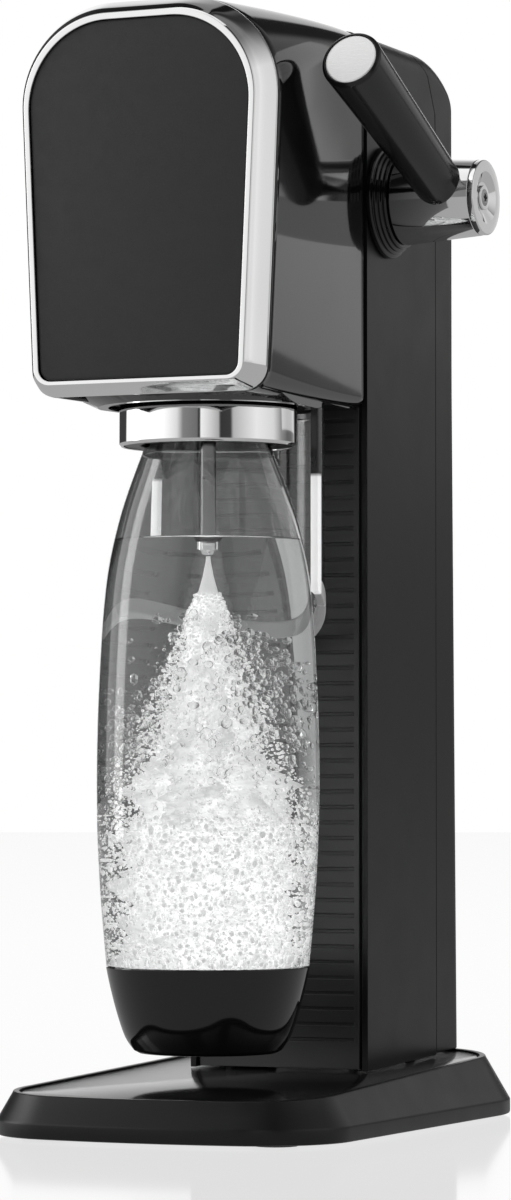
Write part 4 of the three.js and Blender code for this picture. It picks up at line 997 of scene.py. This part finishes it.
def make_skirt():
    """Smooth facing over the sloping skirt round the front of the bottle holder."""
    low, inner = SKIRT_LOW[2], SKIRT_INNER
    centre_y = BOTTLE_Y - 1
    reach = math.radians(31)
    lip, flare = inner + 4, inner + 11.5
    corners = [(inner, low + 3), (inner, low + 0.02, 0.5), (lip, low + 0.02, 0.5)]
    section = rounded([*corners, (flare, low + 2.9, 0.3), (flare, low + 3.2)])
    rings = []
    for i in range(91):
        angle = -math.pi - reach + (math.pi + 2 * reach) * i / 90
        ring = []
        for radius, z in section:
            y = centre_y + radius * math.sin(angle)
            limit = skirt_limit(y)
            x = max(-limit, min(radius * math.cos(angle), limit))
            ring.append((x, max(y, BEZEL_HIGH[1] + 4.5), z))
        rings.append(ring)
    skirt = loft("holder_skirt_smooth", rings, sharp=40)
    dressed(skirt, "housing", GLOSS)


def skirt_limit(y):
    """Half the head's inner width at a depth of the skirt."""
    share = (y - HEAD_FRONT) / (HEAD_HIGH[1] - HEAD_FRONT)
    return mixed(BEZEL_HALF_BOTTOM, COLUMN_HIGH[0], max(share, 0)) - 3.6


# ---- bottle holder
def make_holder():
    radius, low, high = RING_HIGH[0], RING_LOW[2], RING_HIGH[2]
    inner = radius - 1.8
    ring = [
        (inner, low + 3),
        (inner, low + 0.2, 0.3),
        (radius - 1.0, low, 0.25),
        (radius, low + 1.1, 0.3),
        (radius, high, 0.6),
        (inner, high),
        (inner, low + 3),
    ]
    turned("collar_ring_smooth", ring, BOTTLE_AXIS, "holder", CHROME, "collar_ring", sides=160)
    bore, outer = 26, inner - 0.3
    insert_low, insert_high = low + 0.5, high - 0.3
    insert = [
        (bore, low + 3),
        (bore, insert_low, 0.6),
        (outer, insert_low, 0.3),
        (outer, insert_high),
        (bore, insert_high),
        (bore, low + 3),
    ]
    turned("collar_insert_smooth", insert, BOTTLE_AXIS, "holder", SATIN, "collar_insert", sides=128)
    make_nozzle()
    make_shield()


def make_nozzle():
    """Tube, collar and tip. Heights are given over the tip's lower end."""
    top = 303 - TIP_LOW[2]
    tube = [(1.6, 9), (3.0, 8.6, 0.2), (3.0, top), (1.6, top), (1.6, 9)]
    collar = [(1.6, 5), (3.4, 4.8, 0.4), (4.2, 6.4, 0.6), (4.2, 8.3, 0.3), (1.6, 8.3), (1.6, 5)]
    tip = [(0.6, 0), (1.6, 0, 0.2), (2.1, 1.4, 0.3), (2.6, 1.7, 0.2), (2.6, 4.5, 0.2), (1.4, 4.5), (0.6, 0)]
    for part, finish, section in (("tube", TUBE, tube), ("collar", RUBBER, collar), ("tip", CHROME, tip)):
        name = "nozzle_" + part
        corners = [(radius, TIP_LOW[2] + height, *bend) for radius, height, *bend in section]
        turned(name + "_smooth", corners, BOTTLE_AXIS, "holder", finish, name, sides=48)


def shield_foot(angle):
    """Height of the shield's lower edge at an angle round it: low behind, rising in a U to the sides."""
    across = min(abs(SHIELD_OUTER * math.cos(angle)) / (SHIELD_OUTER + 0.4), 1)
    return SHIELD_LOW[2] + SHIELD_BEND * (1 - math.sqrt(1 - across * across))


def bent_strip(name, angles, low, high, outer, inner, rows=14):
    """A closed wall bent round the shield's centre, between a lower and an upper edge."""
    rings = []
    for angle in angles:
        c, s = math.cos(angle), math.sin(angle)
        ring = []
        for radius, order in ((outer, range(rows + 1)), (inner, range(rows, -1, -1))):
            for i in order:
                z = low(angle) + (high(angle) - low(angle)) * i / rows
                ring.append((radius * c, SHIELD_CENTRE_Y + radius * s, z))
        rings.append(ring)
    return loft(name, rings, sharp=40)


def make_shield():
    """Clear wall with a thicker U-shaped rim: up one front edge, round the bottom, up the other."""
    start = math.asin(4 / SHIELD_OUTER)
    angles = [start + (math.pi - 2 * start) * i / 96 for i in range(97)]
    outer, inner = SHIELD_OUTER, SHIELD_OUTER - SHIELD_RIM_WALL

    def top(angle):
        return SHIELD_HIGH[2] - 0.2

    def rim_top(angle):
        return shield_foot(angle) + SHIELD_RIM_HEIGHT

    def above_rim(angle):
        return rim_top(angle) + 0.02

    screen = bent_strip("bottle_shield_smooth", angles, above_rim, top, outer - 0.3, outer - SHIELD_WALL)
    dressed(screen, "holder", SHIELD_CLEAR, "bottle_shield")
    # The foot and the edges carry the rim material's painted glow and painted shade
    foot = bent_strip("bottle_shield_foot", angles, shield_foot, rim_top, outer, inner, 4)
    edged(foot, 0.7, 3, 50)
    dressed(foot, "holder", SHIELD_FOOT_PAINTED_GLOW)
    right = [start * i / 6 for i in range(7)]
    for side, span in (("right", right), ("left", [math.pi - a for a in right])):
        edge = bent_strip("bottle_shield_edge_" + side, span, shield_foot, top, outer, inner, 24)
        edged(edge, 0.7, 3, 50)
        dressed(edge, "holder", SHIELD_RIM_PAINTED_GLOW)


# ---- bottle and what is in it
def bottle_side():
    """Radius against height of the bottle from the cup's rim to its mouth."""
    points = [
        (39.2, CUP_HIGH[2] + 0.4),
        (41.9, 98),
        (43.1, 133),
        (42.3, 172),
        (39.6, 211),
        (34.4, 237),
        (26.6, 260),
        (20.6, 274),
        (BOTTLE_NECK, 281),
        (BOTTLE_NECK, BOTTLE_HIGH[2]),
    ]
    return spline(points, 8)


def cup_side():
    low, high = CUP_LOW[2], CUP_HIGH[2] - 0.3
    points = [(28.6, low + 1.4), (32, low + 6.5), (35.1, low + 15.5), (37.7, low + 25.5), (39.3, high)]
    return [(24, low), (26.4, low + 0.25)] + spline(points, 6)


def side_radius(z):
    """The bottle's outer radius at a height."""
    side = bottle_side()
    heights = [p[1] for p in side]
    return float(np.interp(z, heights, [p[0] for p in side]))


def make_bottle():
    floor = BOTTLE_LOW[2]
    heel = [(22, floor), (26.5, floor + 1.2), (30, floor + 6), (33, floor + 14), (35.8, floor + 24)]
    outside = spline([*heel, (37.4, CUP_HIGH[2] - 0.6)], 4) + bottle_side()
    inside = [(r - BOTTLE_WALL, max(z, floor + BOTTLE_WALL)) for r, z in reversed(outside)]
    outside[-1] = (outside[-1][0], BOTTLE_HIGH[2])
    profile = [(0, floor), *outside, *inside, (0, floor + BOTTLE_WALL)]
    bottle = lathe("bottle_smooth", profile, BOTTLE_AXIS, sides=128, sharp=50)
    dressed(bottle, "bottle", CLEAR, "bottle")
    make_cup()
    make_water()
    make_fizz()


def make_cup():
    side = cup_side()
    low, high = CUP_LOW[2], CUP_HIGH[2]
    outside = [(0, low + 0.3), (22, low + 0.3), *side, (39.2, high)]
    inside = [(radius - 1.5, z) for radius, z in reversed(side[3:])]
    profile = [*outside, (38.4, high), *inside, (24, low + 1.5), (0, low + 1.5)]
    cup = lathe("bottle_base_cup_smooth", profile, BOTTLE_AXIS, sides=128, sharp=40)
    dressed(cup, "bottle", GLOSS, "bottle_base_cup")


def make_water():
    """The water reaches a little into the bottle's wall, so that no air shows between them."""
    overlap = 0.25
    low, top = CUP_HIGH[2] + 1, WATER_TOP
    heights = [mixed(low, top, i / 60) for i in range(61)]
    wall = [(side_radius(z) - BOTTLE_WALL + overlap, z) for z in heights]
    edge = wall[-1][0]
    foot = [(0, low - 24), (30, low - 24), (36.3, low - 3)]
    surface = [(edge - 0.6, top - 0.5), (edge - 2.2, top - 0.9), (4.4, top - 0.9)]
    round_tube = [(3.2, top - 0.3), (3.2, top - 6), (0, top - 6)]
    profile = [*foot, *wall, *surface, *round_tube]
    water = lathe("water", profile, BOTTLE_AXIS, sides=128, sharp=80)
    dressed(water, "bottle", WATER)


def plume_radius(z):
    """How far the fizz spreads at a height: a tight jet that widens into a cloud."""
    heights = [64, 80, 107, 130, 152, 174, 192, 205, 213, 219]
    spread = [37, 38, 37, 32, 24, 15.5, 9, 4.6, 2.2, 0.9]
    return float(np.interp(z, heights, spread))


def ball(subdivisions):
    built = bmesh.new()
    bmesh.ops.create_icosphere(built, subdivisions=subdivisions, radius=1.0)
    points = np.array([v.co[:] for v in built.verts])
    faces = np.array([[v.index for v in f.verts] for f in built.faces])
    built.free()
    return points, faces


def bubble_cloud(name, places, sizes, draws, subdivisions, squash, finish):
    """Many small bubbles as one mesh. Each is a ball that is stretched and dented a little."""
    points, faces = ball(subdivisions)
    count = len(places)
    stretch = 1 + squash * draws.uniform(-1, 1, (count, 1, 3))
    dents = 1 + squash * 0.4 * draws.uniform(-1, 1, (count, len(points), 1))
    all_points = points[None] * stretch * dents * sizes[:, None, None] + places[:, None]
    all_faces = faces[None] + (np.arange(count) * len(points))[:, None, None]
    corners = (all_points.reshape(-1, 3) * MM).tolist()
    mesh = bpy.data.meshes.new(name)
    mesh.from_pydata(corners, [], all_faces.reshape(-1, 3).tolist())
    mesh.shade_smooth()
    made = bpy.data.objects.new(name, mesh)
    bpy.context.scene.collection.objects.link(made)
    dressed(made, "bottle", finish)


def scattered(draws, count, low, high, reach, spread, gather=0.5, towards=None):
    """Places in the plume. Reach is how far out they go against its radius, spread how they gather
    by height, gather how they gather by radius. Towards keeps them near an angle, with its width."""
    found = []
    while len(found) < count:
        z = low + (high - low) * draws.random() ** spread
        radius = plume_radius(z) * reach * draws.random() ** gather
        angle = draws.uniform(0, 2 * math.pi) if towards is None else draws.normal(*towards)
        if radius > side_radius(z) - 3.2:
            continue
        found.append((radius * math.cos(angle), BOTTLE_Y + radius * math.sin(angle), z))
    return np.array(found)


def make_plume(low):
    """The white heart of the fizz: a ragged cone that grows out of a smooth jet below the tip."""
    rings = []
    for i in range(150):
        z = mixed(low, PLUME_TOP, i / 149)
        ragged = min(max((206 - z) / 25, 0), 1)
        ring = []
        for k in range(96):
            angle = 2 * math.pi * k / 96
            c, s = math.cos(angle), math.sin(angle)
            coarse = mathutils.noise.noise(Vector((c * 2.4, s * 2.4, z * 0.11)))
            fine = mathutils.noise.noise(Vector((c * 9, s * 9, z * 0.5)))
            radius = plume_radius(z) * (0.74 - 0.2 * ragged + ragged * (0.36 * coarse + 0.2 * fine))
            ring.append((radius * c, BOTTLE_Y + radius * s, z))
        rings.append(ring)
    plume = loft("fizz_plume", rings, sharp=180)
    dressed(plume, "bottle", FOAM_PAINTED_GLOW)


def make_fizz():
    """White mist and pebbles, then clear bubbles round them. A row holds how the places are drawn
    (see scattered), then the smallest and largest radius, the balls' detail and their squash."""
    draws = np.random.default_rng(SEED)
    low = CUP_HIGH[2] - 2
    make_plume(low + 1)
    front_right, right, left = (math.radians(angle) for angle in (-50, -10, 190))
    clouds = [
        ("fizz_mist", (15000, low, 207, 0.95, 1.0, 0.55), 0.2, 0.75, 1, 0.35, FOAM_PAINTED_GLOW),
        ("fizz_pebbles", (3600, low, 122, 1.08, 1.25, 0.4, (front_right, 0.95)), 0.45, 1.25, 1, 0.3, FOAM_PAINTED_GLOW),
        ("fizz_edge", (1300, low, 200, 1.2, 1.1, 0.3), 0.35, 1.3, 2, 0.25, BUBBLE),
        ("fizz_right", (420, 100, 192, 2.1, 0.9, 0.4, (right, 0.6)), 0.6, 2.1, 2, 0.3, BUBBLE),
        ("fizz_left", (240, low, 165, 1.5, 0.9, 0.3, (left, 0.6)), 0.6, 1.8, 2, 0.28, BUBBLE),
        ("fizz_stray", (160, low, 200, 2.4, 0.8), 0.4, 1.6, 2, 0.2, BUBBLE),
    ]
    for name, drawn, small, large, detail, squash, finish in clouds:
        places = scattered(draws, *drawn)
        sizes = mixed(small, large, draws.random(len(places)) ** 2)
        bubble_cloud(name, places, sizes, draws, detail, squash, finish)


# ---- lever
ALONG_X = (1, 0, 0)
LEVER_CENTRE = (0, LEVER_Y, LEVER_Z)


def make_lever():
    start, shoulder, end = HUB_LOW[0], CAP_LOW[0] - 0.25, CAP_HIGH[0]
    root, tip = 17.5, 15.0
    hub = [(5.3, start), (root, start, 0.5), (tip + 0.1, shoulder, 0.25), (5.3, shoulder), (5.3, start)]
    cap = [
        (2.6, CAP_LOW[0]),
        (tip, CAP_LOW[0], 0.15),
        (tip, end, 0.5),
        (10.4, end, 0.25),
        (6.3, end - 1.6, 0.5),
        (5.2, end - 1.6),
        (2.6, end - 1.7),
        (2.6, CAP_LOW[0]),
    ]
    for name, corners in (("lever_hub", hub), ("hub_end_cap", cap)):
        turned(name + "_smooth", corners, LEVER_CENTRE, "lever", CHROME, name, axis=ALONG_X, sides=128)
    make_screw(end)
    make_flange()
    make_arm()


def make_screw(end):
    """Screw head with a six-lobed recess, over a washer."""
    low, high = end - 1.5, end - 0.75
    washer = [(2.6, low), (4.9, low, 0.1), (4.9, high, 0.2), (2.6, high), (2.6, low)]
    turned("hub_washer", washer, LEVER_CENTRE, "lever", WASHER, axis=ALONG_X, sides=64)
    sides = 72
    rings = []
    for radius, depth, lobes in [
        (0.2, 1.7, 0),
        (1.5, 1.7, 0.28),
        (1.6, 0.45, 0.28),
        (1.9, 0.3, 0.2),
        (2.6, 0.35, 0),
        (3.4, 0.7, 0),
        (3.5, 1.4, 0),
        (2.0, 2.0, 0),
    ]:
        ring = []
        for i in range(sides):
            angle = 2 * math.pi * i / sides
            reach = radius * (1 + lobes * math.cos(6 * angle))
            y, z = LEVER_Y + reach * math.cos(angle), LEVER_Z + reach * math.sin(angle)
            ring.append((end - depth, y, z))
        rings.append(ring)
    screw = loft("hub_screw_smooth", rings, sharp=45)
    dressed(screw, "lever", STEEL, "hub_screw")


def make_flange():
    wall, top = FLANGE_LOW[0], FLANGE_HIGH[0]
    outer = FLANGE_HIGH[1] - LEVER_Y
    steps = [(6, wall), (outer, wall, 0.3), (outer, wall + 2.0, 0.6)]
    for i, inset in enumerate((1.4, 2.4, 3.4)):
        height = wall + 2.3 + 1.5 * i
        steps += [(outer - inset, height, 0.25), (outer - inset, height + 1.1, 0.4)]
    steps += [(outer - 3.9, top, 0.3), (6, top), (6, wall)]
    name = "lever_flange"
    turned(name + "_smooth", steps, LEVER_CENTRE, "housing", GLOSS, name, axis=ALONG_X, sides=128)


def make_arm():
    """A tapered arm with a shallow seat in its end, and the brushed disc that lies in it."""
    axis = (0, -math.cos(ARM_RISE), math.sin(ARM_RISE))
    origin = (ARM_X, LEVER_Y, LEVER_Z)
    end, end_radius, root_radius = ARM_LENGTH, 12.0, 9.3
    seat_radius, disc_radius = 10.55, 10.35
    profile = [
        (0, 4),
        (root_radius, 4, 1.0),
        (end_radius, end - 1.0, 1.4),
        (end_radius - 1.3, end, 0.4),
        (seat_radius, end, 0.12),
        (seat_radius, end - 1.5),
        (0, end - 1.5),
    ]
    arm = lathe("lever_arm_smooth", rounded(profile, 6), origin, axis, 96)
    dressed(arm, "lever", SATIN_GLOSS, "lever_arm")
    disc = [
        (0, end - 1.4),
        (disc_radius, end - 1.4),
        (disc_radius, end - 0.35, 0.25),
        (9.6, end - 0.25, 0.5),
        (0, end - 0.1),
    ]
    turned("lever_end_disc_smooth", disc, origin, "lever", DISC, "lever_end_disc", axis=axis, sharp=60)


# ---- CAD nodes
def dress_cad_nodes():
    """Materials and smooth shading for the CAD nodes."""
    kept = (SATIN, GLOSS, CHARCOAL, CHROME, DISC, RUBBER, CLEAR, SHIELD_CLEAR, GREY, STEEL, BRASS, PAINT)
    finishes = {slot: material for material, slot in kept}
    slots = {part["node"]: part["material_slot"] for part in frame["record"]["subparts"]}
    for name, node in frame["nodes"].items():
        node.data.materials.clear()
        node.data.materials.append(finishes[slots[name]])
        node.data.shade_smooth()
        node.data.set_sharp_from_angle(angle=math.radians(33))


make_camera()
make_world()
make_floor()
make_lights()
dress_cad_nodes()
make_base()
make_column()
make_head()
make_holder()
make_bottle()
make_lever()

bpy.context.scene.view_settings.view_transform = "Standard"
bpy.context.view_layer.update()
